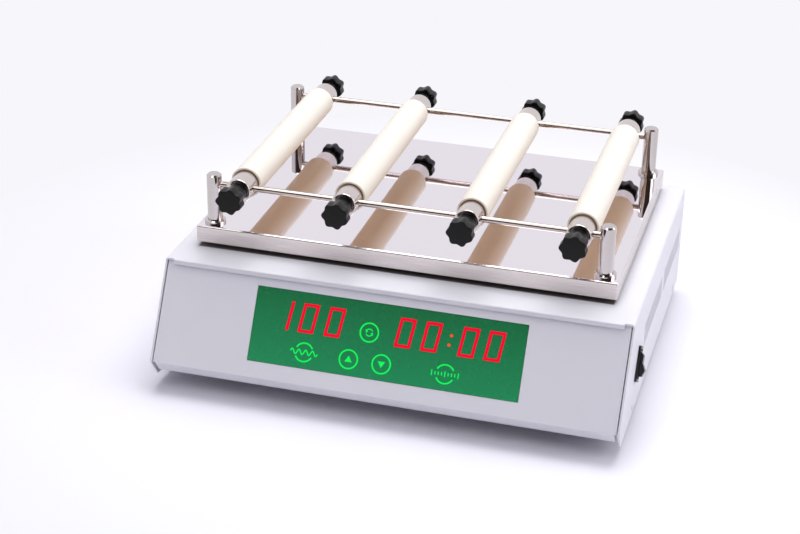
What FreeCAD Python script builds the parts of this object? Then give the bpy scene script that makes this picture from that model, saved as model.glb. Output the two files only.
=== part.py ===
import FreeCAD, Part
import math
import os

# A reciprocating shaker: a stainless platform with four cushioned clamp bars, which a
# crank drive in the case below shakes from side to side.
# Millimetres. X runs to the right, Y to the rear and Z up. The origin is on the table,
# under the middle of the whole instrument.

Vector = FreeCAD.Vector
RIGHT = Vector(1, 0, 0)
BACK = Vector(0, 1, 0)
UP = Vector(0, 0, 1)

# Case
case_width = 374.0
cover_rise = 89.5
foot_height = 10.0
case_sheet = 1.5
fold_radius = 3.0
front_reach = 182.0
rear_reach = 122.0
panel_run = 40.0
panel_drop = 70.0
chin_run = 12.0
sheet_gap = 0.5
panel_side_gap = 0.9
panel_top_gap = 0.6

# Platform
platform_width = 340.0
platform_depth = 228.0
platform_edge = 13.7
platform_sheet = 1.5
platform_gap = 4.0
platform_corner = 1.5

# Corner posts and rails
post_inset = 12.0
post_radius = 6.0
post_height = 41.5
post_chamfer = 1.2
collar_radius = 8.5
collar_height = 3.0
rail_radius = 2.5
rail_rise = 33.0
rail_seat = 8.0
rail_fit = 0.05
post_screw_radius = 3.0
post_screw_hole = 3.2
post_screw_depth = 10.0

# Clamp bars
bar_places = (-134.5, -48.0, 50.5, 137.0)
bar_radius = 10.25
bar_wall = 2.0
bar_overhang = 10.0
bar_rim = 0.8
bar_plug = 24.0
bar_bore_clearance = 0.3
bar_bare_end = 19.0
sleeve_radius = 12.5
sleeve_fit = 0.1
sleeve_rim = 0.6
sleeve_bore_chamfer = 0.7

# Clamp knobs
knob_lobes = 7
knob_head_radius = 10.8
knob_valley_radius = 8.9
knob_head_length = 10.0
knob_hub_radius = 7.2
knob_hub_length = 11.5
knob_gap = 0.3
knob_dome = 1.5
knob_rest_turn = 27.0
knob_shoulder = 0.5
knob_lobe_share = 0.2
stud_rail_gap = 0.8
stud_radius = 3.0
stud_clearance = 0.1

# Crank drive
crank_radius = 10.0
crank_rest_angle = -97.0
link_length = 80.0
crank_offset = -40.0
belt_centres = 92.0
belt_tooth_pitch = 5.0
crank_teeth = 48
motor_teeth = 16

# Fits shared by several pieces
screw_clearance = 0.1
press_fit = 0.02

# How far the rocker switch stands out of the case's right wall
switch_reach = 6.8

# Places worked out from the sizes above
rail_offset = platform_depth / 2 - post_inset
post_offset = platform_width / 2 - post_inset
bar_reach = rail_offset + bar_overhang
sleeve_reach = bar_reach - bar_bare_end
knob_reach = bar_reach + knob_gap + knob_hub_length + knob_head_length
center_x = -switch_reach / 2
center_y = (front_reach - knob_reach) / 2
cover_low = foot_height
cover_top = foot_height + cover_rise
cover_under = cover_top - case_sheet
wall_top = cover_top - fold_radius
foot_line_z = wall_top - panel_drop
foot_line_y = center_y - front_reach
front_top_y = foot_line_y + panel_run
rear_y = center_y + rear_reach
case_left = center_x - case_width / 2
case_right = center_x + case_width / 2
inner_left = case_left + case_sheet + sheet_gap
inner_right = case_right - case_sheet - sheet_gap
platform_low = cover_top + platform_gap
platform_top = platform_low + platform_edge
platform_under = platform_top - platform_sheet
rail_z = platform_top + rail_rise

# The crank's pin at rest, and how far the platform then sits from the middle of its stroke
crank_x = center_x + crank_offset
pin_x = crank_x + crank_radius * math.cos(math.radians(crank_rest_angle))
pin_y = center_y + crank_radius * math.sin(math.radians(crank_rest_angle))
wrist_x = pin_x + math.sqrt(link_length**2 - (pin_y - center_y) ** 2)
platform_x = center_x + wrist_x - (crank_x + link_length)


def block(x0, x1, y0, y1, z0, z1):
    """A box between two corners."""
    return Part.makeBox(x1 - x0, y1 - y0, z1 - z0, Vector(x0, y0, z0))


def cylinder(radius, start, direction, length):
    return Part.makeCylinder(radius, length, start, direction)


def tube(outer, inner, start, direction, length):
    return cylinder(outer, start, direction, length).cut(cylinder(inner, start, direction, length))


def side_prism(points, x0, x1):
    """A (y, z) outline pushed from x0 to x1."""
    outline = Part.makePolygon([Vector(x0, y, z) for y, z in points + points[:1]])
    return Part.Face(outline).extrude(Vector(x1 - x0, 0, 0))


def plan_prism(points, z0, z1):
    """An (x, y) outline pushed from z0 to z1."""
    outline = Part.makePolygon([Vector(x, y, z0) for x, y in points + points[:1]])
    return Part.Face(outline).extrude(Vector(0, 0, z1 - z0))


def turned(points, start, direction=UP):
    """A (radius, height) outline turned about an axis."""
    outline = Part.makePolygon([Vector(r, 0, h) for r, h in points + points[:1]])
    solid = Part.Face(outline).revolve(Vector(0, 0, 0), UP, 360)
    solid.Placement = FreeCAD.Placement(start, FreeCAD.Rotation(UP, direction))
    return solid


def slot(radius, half_travel, x, y, z0, z1):
    """A slot with round ends that runs along X."""
    middle = block(x - half_travel, x + half_travel, y - radius, y + radius, z0, z1)
    ends = [cylinder(radius, Vector(x + side * half_travel, y, z0), UP, z1 - z0) for side in (-1, 1)]
    return middle.fuse(ends).removeSplitter()


def edges_along(shape, direction, test):
    """The straight edges parallel to a direction whose middle passes a test."""
    found = []
    for edge in shape.Edges:
        if edge.Curve.TypeId != "Part::GeomLine":
            continue
        if abs(edge.tangentAt(edge.FirstParameter).dot(direction)) > 0.999:
            if test(edge.CenterOfMass):
                found.append(edge)
    return found


def save(name, solids):
    """Write one piece, or a group of like pieces, to its own file."""
    shape = solids[0] if len(solids) == 1 else Part.makeCompound(solids)
    shape.exportStep("parts/" + name + ".step")


def mirrored_pairs(middle_x, offset_x, offset_y):
    """Four places, one in each corner around a middle."""
    return [(middle_x + sx * offset_x, center_y + sy * offset_y) for sx in (-1, 1) for sy in (-1, 1)]


# The case

vent_slot_width = 2.2
vent_pitch = 5.0
vent_slots = 18
vent_low = 28.0
vent_height = 20.0
vent_starts = (-80.0, 20.0)
visor_overhang = 2.0
visor_height = 4.0
visor_inset = 7.5
visor_fold_radius = 1.3
panel_recess = 0.8
pillar_radius = 7.0
pillar_offset_x = 60.0
pillar_offset_y = 66.0
pillar_slot_clearance = 2.5
switch_frame_length = 28.2
switch_frame_width = 14.0
switch_frame_depth = 2.0
switch_body_length = 25.4
switch_body_width = 11.5
switch_body_depth = 20.0
switch_fit = 0.2
switch_setback = 72.0
switch_drop = 47.0
case_screw_radius = 1.5
case_screw_head = 2.9
case_screw_length = 7.0
case_screw_rise = 7.0
case_screw_front = 60.0
case_screw_rear = 30.0

switch_center_y = foot_line_y + switch_setback
switch_center_z = wall_top - switch_drop
panel_tilt = math.degrees(math.atan2(panel_drop, panel_run))
panel_frame = FreeCAD.Placement(
    Vector(center_x, foot_line_y + panel_recess, foot_line_z),
    FreeCAD.Rotation(RIGHT, panel_tilt),
)
switch_frame_place = FreeCAD.Placement(
    Vector(case_right, switch_center_y, switch_center_z),
    FreeCAD.Rotation(RIGHT, panel_tilt).multiply(FreeCAD.Rotation(BACK, 90)),
)


def on_panel(solid):
    """Move a solid from the panel's own frame, with X along it, Y up it and Z out of it."""
    moved = solid.copy()
    moved.Placement = panel_frame.multiply(solid.Placement)
    return moved


def on_switch(solid):
    """Move a solid from the switch's own frame, with Z out of the wall and Y up the panel's slant."""
    moved = solid.copy()
    moved.Placement = switch_frame_place.multiply(solid.Placement)
    return moved


def case_screw_places():
    """Where the cover's screws pass its two side walls."""
    places = []
    for y in (foot_line_y + case_screw_front, rear_y - case_screw_rear):
        places.append((case_left, y, RIGHT))
        places.append((case_right, y, RIGHT.negative()))
    return [(Vector(x, y, cover_low + case_screw_rise), inward) for x, y, inward in places]


def make_top_cover():
    outer = block(case_left, case_right, foot_line_y, rear_y, cover_low, cover_top)
    outer = outer.makeFillet(fold_radius, edges_along(outer, BACK, lambda p: p.z > cover_top - 1))
    inner = block(
        case_left + case_sheet, case_right - case_sheet, foot_line_y, rear_y, cover_low, cover_under
    )
    inner = inner.makeFillet(
        fold_radius - case_sheet, edges_along(inner, BACK, lambda p: p.z > cover_under - 1)
    )
    cover = outer.cut(inner)
    silhouette = [
        (front_top_y, cover_top),
        (front_top_y, wall_top),
        (foot_line_y, foot_line_z),
        (foot_line_y + chin_run, cover_low),
        (rear_y, cover_low),
        (rear_y, cover_top),
    ]
    cover = cover.common(side_prism(silhouette, case_left, case_right))
    lip_left = case_left + visor_inset
    lip_right = case_right - visor_inset
    lip_y = front_top_y - visor_overhang
    visor = block(lip_left, lip_right, lip_y, front_top_y, cover_top - visor_height, cover_top)
    fold = edges_along(visor, RIGHT, lambda p: p.y < lip_y + 0.1 and p.z > cover_top - 0.1)
    visor = visor.makeFillet(visor_fold_radius, fold)
    hollow = block(
        lip_left, lip_right, lip_y + case_sheet, front_top_y, cover_top - visor_height, cover_under
    )
    cover = cover.fuse(visor.cut(hollow)).removeSplitter()
    slots = []
    for x, y in mirrored_pairs(center_x, pillar_offset_x, pillar_offset_y):
        radius = pillar_radius + pillar_slot_clearance
        slots.append(slot(radius, crank_radius + 1, x, y, cover_under - 1, cover_top + 1))
    for start in vent_starts:
        for step in range(vent_slots):
            y = center_y + start + step * vent_pitch
            top = wall_top - vent_low
            slots.append(
                block(case_left - 1, case_right + 1, y, y + vent_slot_width, top - vent_height, top)
            )
    half_width = switch_body_width / 2 + switch_fit
    half_length = switch_body_length / 2 + switch_fit
    slots.append(on_switch(block(-half_width, half_width, -half_length, half_length, -5, 5)))
    for place, inward in case_screw_places():
        rim = case_screw_head + screw_clearance
        bore = case_screw_radius + screw_clearance
        slots.append(Part.makeCone(rim, bore, case_sheet, place, inward))
    return cover.cut(slots)


def make_case_screws():
    screws = []
    for place, inward in case_screw_places():
        head = Part.makeCone(case_screw_head, case_screw_radius, case_sheet - 0.1, place, inward)
        shank = cylinder(case_screw_radius, place, inward, case_screw_length)
        screws.append(head.fuse(shank).removeSplitter())
    return screws


tray_wall = 14.0
tray_setback = 18.0
rest_tab_inset = 17.0
rest_tab_width = 44.0
foot_inset = 42.0
foot_front = 48.0
foot_rear = 40.0
foot_radius = 11.0
foot_tip_radius = 9.0
foot_screw_radius = 2.0
foot_recess_radius = 6.0
foot_recess_height = 3.5
tray_rear_gap = 0.3
tray_fold_radius = 2.0
tray_vents = 9
tray_vent_pitch = 10.0
tray_vent_width = 3.0
tray_vent_reach = 40.0


def foot_places():
    rows = (foot_line_y + foot_front, rear_y - foot_rear)
    return [Vector(center_x + side * (case_width / 2 - foot_inset), y, 0) for side in (-1, 1) for y in rows]


def make_bottom_tray():
    y0 = foot_line_y + tray_setback
    y1 = rear_y - case_sheet - tray_rear_gap
    top = cover_low + tray_wall
    outer = block(inner_left, inner_right, y0, y1, cover_low, top)
    folds = [edge for edge in outer.Edges if edge.CenterOfMass.z < cover_low + 0.1]
    outer = outer.makeFillet(tray_fold_radius, folds)
    inner = block(
        inner_left + case_sheet, inner_right - case_sheet, y0 + case_sheet, y1 - case_sheet,
        cover_low + case_sheet, top,
    )
    tray = outer.cut(inner)
    reach = panel_recess + case_sheet / math.sin(math.radians(panel_tilt)) + 0.3
    rest_z = foot_line_z + (tray_setback - reach) * panel_drop / panel_run
    for tab_x in (case_left + rest_tab_inset, case_right - rest_tab_inset - rest_tab_width):
        tab = block(tab_x, tab_x + rest_tab_width, y0, y0 + case_sheet, cover_low + 3, rest_z)
        tray = tray.fuse(tab)
    tray = tray.removeSplitter()
    bore = foot_screw_radius + screw_clearance
    holes = [cylinder(bore, place, UP, cover_low + 5) for place in foot_places()]
    for place, inward in case_screw_places():
        holes.append(cylinder(case_screw_radius + screw_clearance, place, inward, case_screw_length + 1))
    for row in range(tray_vents):
        x = center_x + (row - (tray_vents - 1) / 2) * tray_vent_pitch
        y_low = center_y - tray_vent_reach
        y_high = center_y + tray_vent_reach
        holes.append(block(x, x + tray_vent_width, y_low, y_high, cover_low - 1, cover_low + 3))
    return tray.cut(holes)


def make_rubber_feet():
    outline = [
        (foot_screw_radius + screw_clearance, foot_recess_height),
        (foot_recess_radius, foot_recess_height),
        (foot_recess_radius, 0.0),
        (foot_tip_radius, 0.0),
        (foot_radius, foot_height),
        (foot_screw_radius + screw_clearance, foot_height),
    ]
    return [turned(outline, place) for place in foot_places()]


def make_foot_screws():
    head_radius = 2 * foot_screw_radius
    head_low = foot_recess_height - 2.6
    tip = foot_height + 6
    outline = [
        (0.0, head_low),
        (head_radius - 0.5, head_low),
        (head_radius, head_low + 0.7),
        (head_radius, foot_recess_height),
        (foot_screw_radius, foot_recess_height),
        (foot_screw_radius, tip),
        (0.0, tip),
    ]
    return [turned(outline, place) for place in foot_places()]


# The front panel with its display

window_width = 215.8
window_height = 58.5
window_center = 42.1
window_gap = 0.3
window_proud = 0.2
window_thickness = 2.0
window_corner = 1.0
chin_strip = 13.0
chin_inset = 1.5
flange_depth = 10.0
flange_rise = 2.0
board_gap = 9.0
board_thickness = 1.6
board_margin = 4.0
spacer_inset = 1.8
spacer_radius = 1.9
board_screw_radius = 1.5
digit_height = 23.0
digit_width = 12.8
digit_margin = 3.0
digit_stroke = 2.4
digit_lean = 0.12
digit_groove = 0.5
digit_air = 0.1
digit_center = 52.2
digit_face = window_proud - window_thickness - digit_air
speed_digit_centers = (-86.2, -63.4, -40.6)
timer_digit_centers = (16.3, 37.4, 65.9, 87.0)
ring_radius = 7.7
ring_wall = 1.1
ring_places = ((-13.9, 48.0), (-27.2, 25.3), (-0.9, 25.3), (-63.2, 25.3), (49.5, 25.3))


def make_front_panel():
    half = case_width / 2 - case_sheet - panel_side_gap
    lean = math.radians(panel_tilt)
    chin = math.atan2(cover_low - foot_line_z, chin_run)
    sheet_y = case_sheet / math.sin(lean)
    front_y = foot_line_y + panel_recess
    top_z = cover_under - panel_top_gap
    top_y = front_y + (top_z - foot_line_z) * panel_run / panel_drop
    chin_y = front_y + chin_strip * math.cos(chin)
    chin_z = foot_line_z + chin_strip * math.sin(chin)
    sheet = side_prism(
        [
            (front_y, foot_line_z),
            (top_y, top_z),
            (top_y + sheet_y, top_z),
            (front_y + sheet_y, foot_line_z),
        ],
        center_x - half, center_x + half,
    )
    strip = side_prism(
        [
            (front_y, foot_line_z),
            (chin_y, chin_z),
            (chin_y + sheet_y, chin_z),
            (front_y + sheet_y, foot_line_z),
        ],
        center_x - half + chin_inset, center_x + half - chin_inset,
    )
    panel = sheet.fuse(strip)
    for side in (-1, 1):
        edge = center_x + side * half
        inner_edge = edge - side * case_sheet
        flange = side_prism(
            [
                (front_y + sheet_y / 2, foot_line_z + flange_rise),
                (top_y + sheet_y / 2, top_z),
                (top_y + flange_depth, top_z),
                (front_y + flange_depth, foot_line_z + flange_rise),
            ],
            min(edge, inner_edge), max(edge, inner_edge),
        )
        panel = panel.fuse(flange)
    opening = block(
        -window_width / 2 - window_gap, window_width / 2 + window_gap,
        window_center - window_height / 2 - window_gap, window_center + window_height / 2 + window_gap,
        -10, 5,
    )
    return panel.removeSplitter().cut(on_panel(opening))


def make_display_window():
    low = window_center - window_height / 2
    window = block(
        -window_width / 2, window_width / 2, low, low + window_height,
        window_proud - window_thickness, window_proud,
    )
    window = window.makeFillet(window_corner, edges_along(window, UP, lambda p: True))
    return on_panel(window)


def make_display_board():
    half = window_width / 2 + board_margin
    low = window_center - window_height / 2 - board_margin
    high = window_center + window_height / 2 + board_margin
    board = block(-half, half, low, high, -board_gap - board_thickness, -board_gap)
    holes = [
        cylinder(board_screw_radius + screw_clearance, Vector(x, y, -board_gap - 5), UP, 10)
        for x, y in display_spacer_places()
    ]
    return on_panel(board.cut(holes))


def display_spacer_places():
    half = window_width / 2 + board_margin - spacer_inset
    low = window_center - window_height / 2 - board_margin + spacer_inset
    high = window_center + window_height / 2 + board_margin - spacer_inset
    return [(x, y) for x in (-half, 0, half) for y in (low, high)]


def make_display_spacers():
    spacers = []
    for x, y in display_spacer_places():
        start = Vector(x, y, -board_gap)
        spacer = tube(spacer_radius, board_screw_radius, start, UP, board_gap - case_sheet)
        spacers.append(on_panel(spacer))
    return spacers


def make_digit_module(centers):
    """A moulded module with the seven strokes of each numeral sunk in its face."""
    left = centers[0] - digit_width / 2 - digit_margin
    right = centers[-1] + digit_width / 2 + digit_margin
    low = digit_center - digit_height / 2 - digit_margin
    high = digit_center + digit_height / 2 + digit_margin
    body = block(left, right, low, high, -board_gap, digit_face)
    strokes = []
    for middle in centers:
        strokes += digit_strokes(middle)
    return on_panel(body.cut(strokes))


def digit_strokes(middle):
    """The seven strokes of one numeral, leaning to the right."""
    half_stroke = digit_stroke / 2
    half_width = digit_width / 2 - half_stroke
    half_height = digit_height / 2 - half_stroke
    corner_gap = 0.3
    floor = digit_face - digit_groove
    strokes = []
    for row in (-1, 0, 1):
        y = digit_center + row * half_height
        x = middle + row * half_height * digit_lean
        reach = half_width - half_stroke - corner_gap
        strokes.append(block(x - reach, x + reach, y - half_stroke, y + half_stroke, floor, digit_face + 1))
    for side in (-1, 1):
        for start in (-half_height, 0.0):
            low = digit_center + start + corner_gap
            high = low + half_height - 2 * corner_gap
            points = []
            for y, edge in ((low, -1), (low, 1), (high, 1), (high, -1)):
                x = middle + side * half_width + (y - digit_center) * digit_lean + edge * half_stroke
                points.append((x, y))
            strokes.append(plan_prism(points, floor, digit_face + 1))
    return strokes


def make_digit_displays():
    return [make_digit_module(speed_digit_centers), make_digit_module(timer_digit_centers)]


def make_touch_rings():
    """The light guides that glow around the touch keys."""
    rings = []
    length = board_gap + digit_face
    for x, y in ring_places:
        start = Vector(x, y, -board_gap)
        rings.append(on_panel(tube(ring_radius, ring_radius - ring_wall, start, UP, length)))
    return rings


# The mains switch on the right wall

rocker_width = 9.0
rocker_length = 21.0
rocker_tilt = 11.5
rocker_pivot = -1.0
rocker_crest = 5.8
rocker_dip = 1.4
rocker_end_drop = 3.0
rocker_side_gap = 0.4
rocker_end_gap = 1.1
rocker_well = 8.0
switch_corner = 1.5
blade_pitch = 9.0
blade_width = 4.8
blade_thickness = 0.8
blade_length = 8.0


def make_switch_frame():
    bezel = block(
        -switch_frame_width / 2, switch_frame_width / 2,
        -switch_frame_length / 2, switch_frame_length / 2, 0, switch_frame_depth,
    )
    bezel = bezel.makeFillet(switch_corner, edges_along(bezel, UP, lambda p: True))
    body = block(
        -switch_body_width / 2, switch_body_width / 2,
        -switch_body_length / 2, switch_body_length / 2, -switch_body_depth, 0,
    )
    half_width = rocker_width / 2 + rocker_side_gap
    half_length = rocker_length / 2 + rocker_end_gap
    well = block(-half_width, half_width, -half_length, half_length, -rocker_well, 5)
    frame = bezel.fuse(body).cut(well)
    for row in (-1, 0, 1):
        blade = block(
            -blade_thickness / 2, blade_thickness / 2,
            row * blade_pitch - blade_width / 2, row * blade_pitch + blade_width / 2,
            -switch_body_depth - blade_length, -switch_body_depth,
        )
        frame = frame.fuse(blade)
    return on_switch(frame.removeSplitter())


def make_rocker():
    """The rocker, switched on: two crests with a shallow V between them, and the lower one stands out."""
    half = rocker_length / 2
    tilt = math.radians(rocker_tilt)
    crest = (switch_reach - rocker_pivot - rocker_crest * math.sin(tilt)) / math.cos(tilt)
    points = [
        (-half, crest - rocker_end_drop),
        (-rocker_crest, crest),
        (0.0, crest - rocker_dip),
        (rocker_crest, crest),
        (half, crest - rocker_end_drop),
        (half - 0.8, -1.5),
        (4.0, -4.5),
        (-4.0, -4.5),
        (-half + 0.8, -1.5),
    ]
    outline = Part.makePolygon([Vector(-rocker_width / 2, y, z) for y, z in points + points[:1]])
    rocker = Part.Face(outline).extrude(Vector(rocker_width, 0, 0))
    rocker.Placement = FreeCAD.Placement(
        Vector(0, 0, rocker_pivot), FreeCAD.Rotation(RIGHT, -rocker_tilt)
    )
    return on_switch(rocker)


# The rear wall with its mains inlet

inlet_inset = 62.0
inlet_rise = 40.0
inlet_width = 27.0
inlet_height = 19.8
inlet_flange_width = 48.0
inlet_flange_thickness = 3.0
inlet_flange_corner = 6.0
inlet_depth = 24.0
socket_half_width = 12.0
socket_half_height = 8.0
socket_corner = 4.0
socket_depth = 16.0
pin_spacing = 7.0
earth_pin_rise = 3.0
inlet_screw_offset = 19.0
fuse_height = 9.0
fuse_drawer_depth = 16.0
fuse_drawer_handle = 3.6
rear_vent_rows = 3
rear_vent_columns = 12
rear_vent_pitch_x = 10.0
rear_vent_pitch_z = 16.0
rear_vent_width = 3.0
rear_vent_height = 10.0
rear_vent_inset = 37.0
rear_vent_rise = 30.0


def inlet_place():
    return Vector(case_right - inlet_inset, rear_y, cover_low + inlet_rise)


def make_rear_panel():
    y0 = rear_y - case_sheet
    panel = block(inner_left, inner_right, y0, rear_y, cover_low + sheet_gap, cover_under - panel_top_gap)
    place = inlet_place()
    low = place.z - inlet_height / 2 - fuse_height
    opening = block(
        place.x - inlet_width / 2 - 0.2, place.x + inlet_width / 2 + 0.2, y0 - 1, rear_y + 1,
        low - 0.2, place.z + inlet_height / 2 + 0.2,
    )
    cuts = [opening]
    for row in range(rear_vent_rows):
        for column in range(rear_vent_columns):
            x = case_left + rear_vent_inset + column * rear_vent_pitch_x
            z = cover_low + rear_vent_rise + row * rear_vent_pitch_z
            cuts.append(block(x, x + rear_vent_width, y0 - 1, rear_y + 1, z, z + rear_vent_height))
    return panel.cut(cuts)


def make_power_inlet():
    """A three-pin inlet whose flange sits on the outside of the rear wall."""
    place = inlet_place()
    low = place.z - inlet_height / 2 - fuse_height
    high = place.z + inlet_height / 2
    flange = block(
        place.x - inlet_flange_width / 2, place.x + inlet_flange_width / 2,
        rear_y, rear_y + inlet_flange_thickness, low - 3, high + 4,
    )
    flange = flange.makeFillet(inlet_flange_corner, edges_along(flange, BACK, lambda p: True))
    body = block(
        place.x - inlet_width / 2, place.x + inlet_width / 2, rear_y - inlet_depth, rear_y,
        low, high,
    )
    inlet = flange.fuse(body)
    half = socket_half_width
    top = place.z + socket_half_height
    base = place.z - socket_half_height
    points = [
        (place.x - half, base),
        (place.x - half, top - socket_corner),
        (place.x - half + socket_corner, top),
        (place.x + half - socket_corner, top),
        (place.x + half, top - socket_corner),
        (place.x + half, base),
    ]
    outline = Part.makePolygon([Vector(x, rear_y + 5, z) for x, z in points + points[:1]])
    socket = Part.Face(outline).extrude(Vector(0, -5 - socket_depth, 0))
    drawer_well = block(
        place.x - half - 0.3, place.x + half + 0.3, rear_y - fuse_drawer_depth - 2, rear_y + 5,
        low + 0.7, low + fuse_height - 0.3,
    )
    inlet = inlet.cut([socket, drawer_well])
    for x, z in ((-pin_spacing, -earth_pin_rise), (0.0, earth_pin_rise), (pin_spacing, -earth_pin_rise)):
        pin = block(
            place.x + x - 1, place.x + x + 1, rear_y - socket_depth - 1, rear_y - 1,
            place.z + z - 2, place.z + z + 2,
        )
        inlet = inlet.fuse(pin)
    for side in (-1, 1):
        start = Vector(place.x + side * inlet_screw_offset, rear_y - 5, place.z - 2)
        inlet = inlet.cut(cylinder(1.7, start, BACK, 10))
    return inlet.removeSplitter()


def make_fuse_drawer():
    place = inlet_place()
    low = place.z - inlet_height / 2 - fuse_height + 1.0
    return block(
        place.x - socket_half_width, place.x + socket_half_width,
        rear_y - fuse_drawer_depth, rear_y + fuse_drawer_handle, low, low + fuse_height - 1.6,
    )


# The drive under the cover

drive_plate_rise = 18.0
drive_plate_thickness = 4.0
drive_plate_low = cover_low + drive_plate_rise
drive_top = drive_plate_low + drive_plate_thickness
tray_floor = cover_low + case_sheet
guide_offset = 46.0
guide_radius = 4.0
guide_rise = 38.0
guide_z = drive_top + guide_rise
guide_half = 108.0
guide_support_x = 102.0
guide_fit = 0.05
carriage_rise = 12.0
carriage_low = guide_z + carriage_rise
carriage_thickness = 6.0
carriage_top = carriage_low + carriage_thickness
carriage_half_x = 78.0
carriage_half_y = 78.0
shaft_radius = 5.0
shaft_fit = 0.03
shaft_shoulder = 1.5
crank_thread_radius = 3.0
bearing_radius = 13.0
bearing_width = 8.0
housing_height = 24.0
disc_low = drive_top + housing_height + 2.0
disc_thickness = 7.0
disc_radius = 23.0
disc_top = disc_low + disc_thickness
link_low = disc_top + 2.0
link_thickness = 7.0
pin_radius = 4.0
pin_fit = 0.03
wrist_radius = 4.0
motor_x = crank_x - belt_centres
pulley_rise = 5.0
pulley_low = cover_low + pulley_rise
pulley_width = 10.0
motor_radius = 25.0
motor_height = 54.0
motor_shaft_radius = 3.0
standoff_radius = 5.0
standoff_bore = 2.1
belt_clearance = 0.4
pitch_line_offset = 0.5
belt_thickness = 2.2
belt_groove_depth = 1.0
belt_groove_mouth = 2.4
belt_groove_floor = 1.8
tooth_depth = 1.9
tooth_gap_outer = 3.4
tooth_gap_inner = 1.8
pulley_rim = 6.0
pulley_web = 6.0
pulley_hub = 12.0
pulley_hole_radius = 5.5
plate_half_y = 72.0
plate_corner = 8.0
housing_flange_radius = 28.0
housing_flange = 5.0
housing_barrel_radius = 17.0
housing_bolt_circle = 23.0
housing_shoulder = 10.5
bearing_groove_inner = 7.4
bearing_groove_outer = 10.8
bearing_groove = 0.5
big_eye_radius = 14.0
big_bearing_radius = 11.0
small_eye_radius = 9.0
bush_wall = 1.5
pin_head_radius = 6.5
pin_head_height = 3.0
pin_foot_gap = 0.3
bushing_radius = 7.5
bushing_half = 12.0
bushing_offset_x = 54.0
block_half_x = 14.0
block_half_y = 13.0
support_half = 17.0
support_stem = 9.0
support_thickness = 12.0
pillar_bore = 3.1


def pitch_radius(teeth):
    return teeth * belt_tooth_pitch / (2 * math.pi)


def toothed_pulley(teeth, center, bore, web_holes):
    """A timing pulley with one gap between each pair of teeth."""
    tip = pitch_radius(teeth) - pitch_line_offset
    wheel = cylinder(tip, Vector(center.x, center.y, pulley_low), UP, pulley_width)
    gaps = []
    for step in range(teeth):
        angle = 2 * math.pi * step / teeth
        along = Vector(math.cos(angle), math.sin(angle), 0)
        across = Vector(-along.y, along.x, 0)
        outer = along * (tip + 1)
        inner = along * (tip - tooth_depth)
        wide = across * (tooth_gap_outer / 2)
        narrow = across * (tooth_gap_inner / 2)
        points = [outer - wide, inner - narrow, inner + narrow, outer + wide]
        outline = [(center.x + p.x, center.y + p.y) for p in points]
        gaps.append(plan_prism(outline, pulley_low - 1, pulley_low + pulley_width + 1))
    wheel = wheel.cut(gaps)
    if web_holes:
        rim = tip - pulley_rim
        middle = (rim + pulley_hub) / 2
        recess = tube(rim, pulley_hub, Vector(center.x, center.y, pulley_low + pulley_web), UP, pulley_width)
        wheel = wheel.cut(recess)
        for step in range(web_holes):
            angle = 2 * math.pi * step / web_holes
            x = center.x + middle * math.cos(angle)
            y = center.y + middle * math.sin(angle)
            hole = cylinder(pulley_hole_radius, Vector(x, y, pulley_low - 1), UP, pulley_width + 2)
            wheel = wheel.cut(hole)
    return wheel.cut(cylinder(bore, Vector(center.x, center.y, pulley_low - 1), UP, pulley_width + 2))


def make_drive_plate():
    plate = block(
        motor_x - 34, center_x + guide_support_x + 16, center_y - plate_half_y, center_y + plate_half_y,
        drive_plate_low, drive_top,
    )
    plate = plate.makeFillet(plate_corner, edges_along(plate, UP, lambda p: True))
    low = drive_plate_low - 1
    depth = drive_plate_thickness + 2
    holes = [
        cylinder(2 * shaft_radius, Vector(crank_x, center_y, low), UP, depth),
        cylinder(4 * motor_shaft_radius, Vector(motor_x, center_y, low), UP, depth),
    ]
    for x, y in standoff_places():
        holes.append(cylinder(standoff_bore, Vector(x, y, low), UP, depth))
    return plate.cut(holes)


def standoff_places():
    xs = (motor_x - 26, center_x - 10, center_x + guide_support_x + 8)
    return [(x, center_y + side * (plate_half_y - 8)) for x in xs for side in (-1, 1)]


def make_drive_standoffs():
    height = drive_plate_low - tray_floor
    return [
        tube(standoff_radius, standoff_bore, Vector(x, y, tray_floor), UP, height)
        for x, y in standoff_places()
    ]


def make_bearing_housing():
    foot = drive_top
    top = drive_top + housing_height
    seat = bearing_radius + press_fit
    outline = [
        (seat, foot),
        (housing_flange_radius, foot),
        (housing_flange_radius, foot + housing_flange),
        (housing_barrel_radius + 1.5, foot + housing_flange),
        (housing_barrel_radius, foot + housing_flange + 2),
        (housing_barrel_radius, top),
        (seat, top),
        (seat, top - bearing_width),
        (housing_shoulder, top - bearing_width),
        (housing_shoulder, foot + bearing_width),
        (seat, foot + bearing_width),
    ]
    housing = turned(outline, Vector(crank_x, center_y, 0))
    for step in range(4):
        angle = math.radians(45 + 90 * step)
        x = crank_x + housing_bolt_circle * math.cos(angle)
        y = center_y + housing_bolt_circle * math.sin(angle)
        housing = housing.cut(cylinder(standoff_bore, Vector(x, y, foot - 1), UP, housing_flange + 2))
    return housing


def make_crank_bearings():
    """Two shielded ball bearings, each with a groove between its rings."""
    outline = [
        (shaft_radius + shaft_fit, 0.0),
        (bearing_groove_inner, 0.0),
        (bearing_groove_inner, bearing_groove),
        (bearing_groove_outer, bearing_groove),
        (bearing_groove_outer, 0.0),
        (bearing_radius, 0.0),
        (bearing_radius, bearing_width),
        (bearing_groove_outer, bearing_width),
        (bearing_groove_outer, bearing_width - bearing_groove),
        (bearing_groove_inner, bearing_width - bearing_groove),
        (bearing_groove_inner, bearing_width),
        (shaft_radius + shaft_fit, bearing_width),
    ]
    tops = (drive_top, drive_top + housing_height - bearing_width)
    return [turned(outline, Vector(crank_x, center_y, z)) for z in tops]


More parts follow.
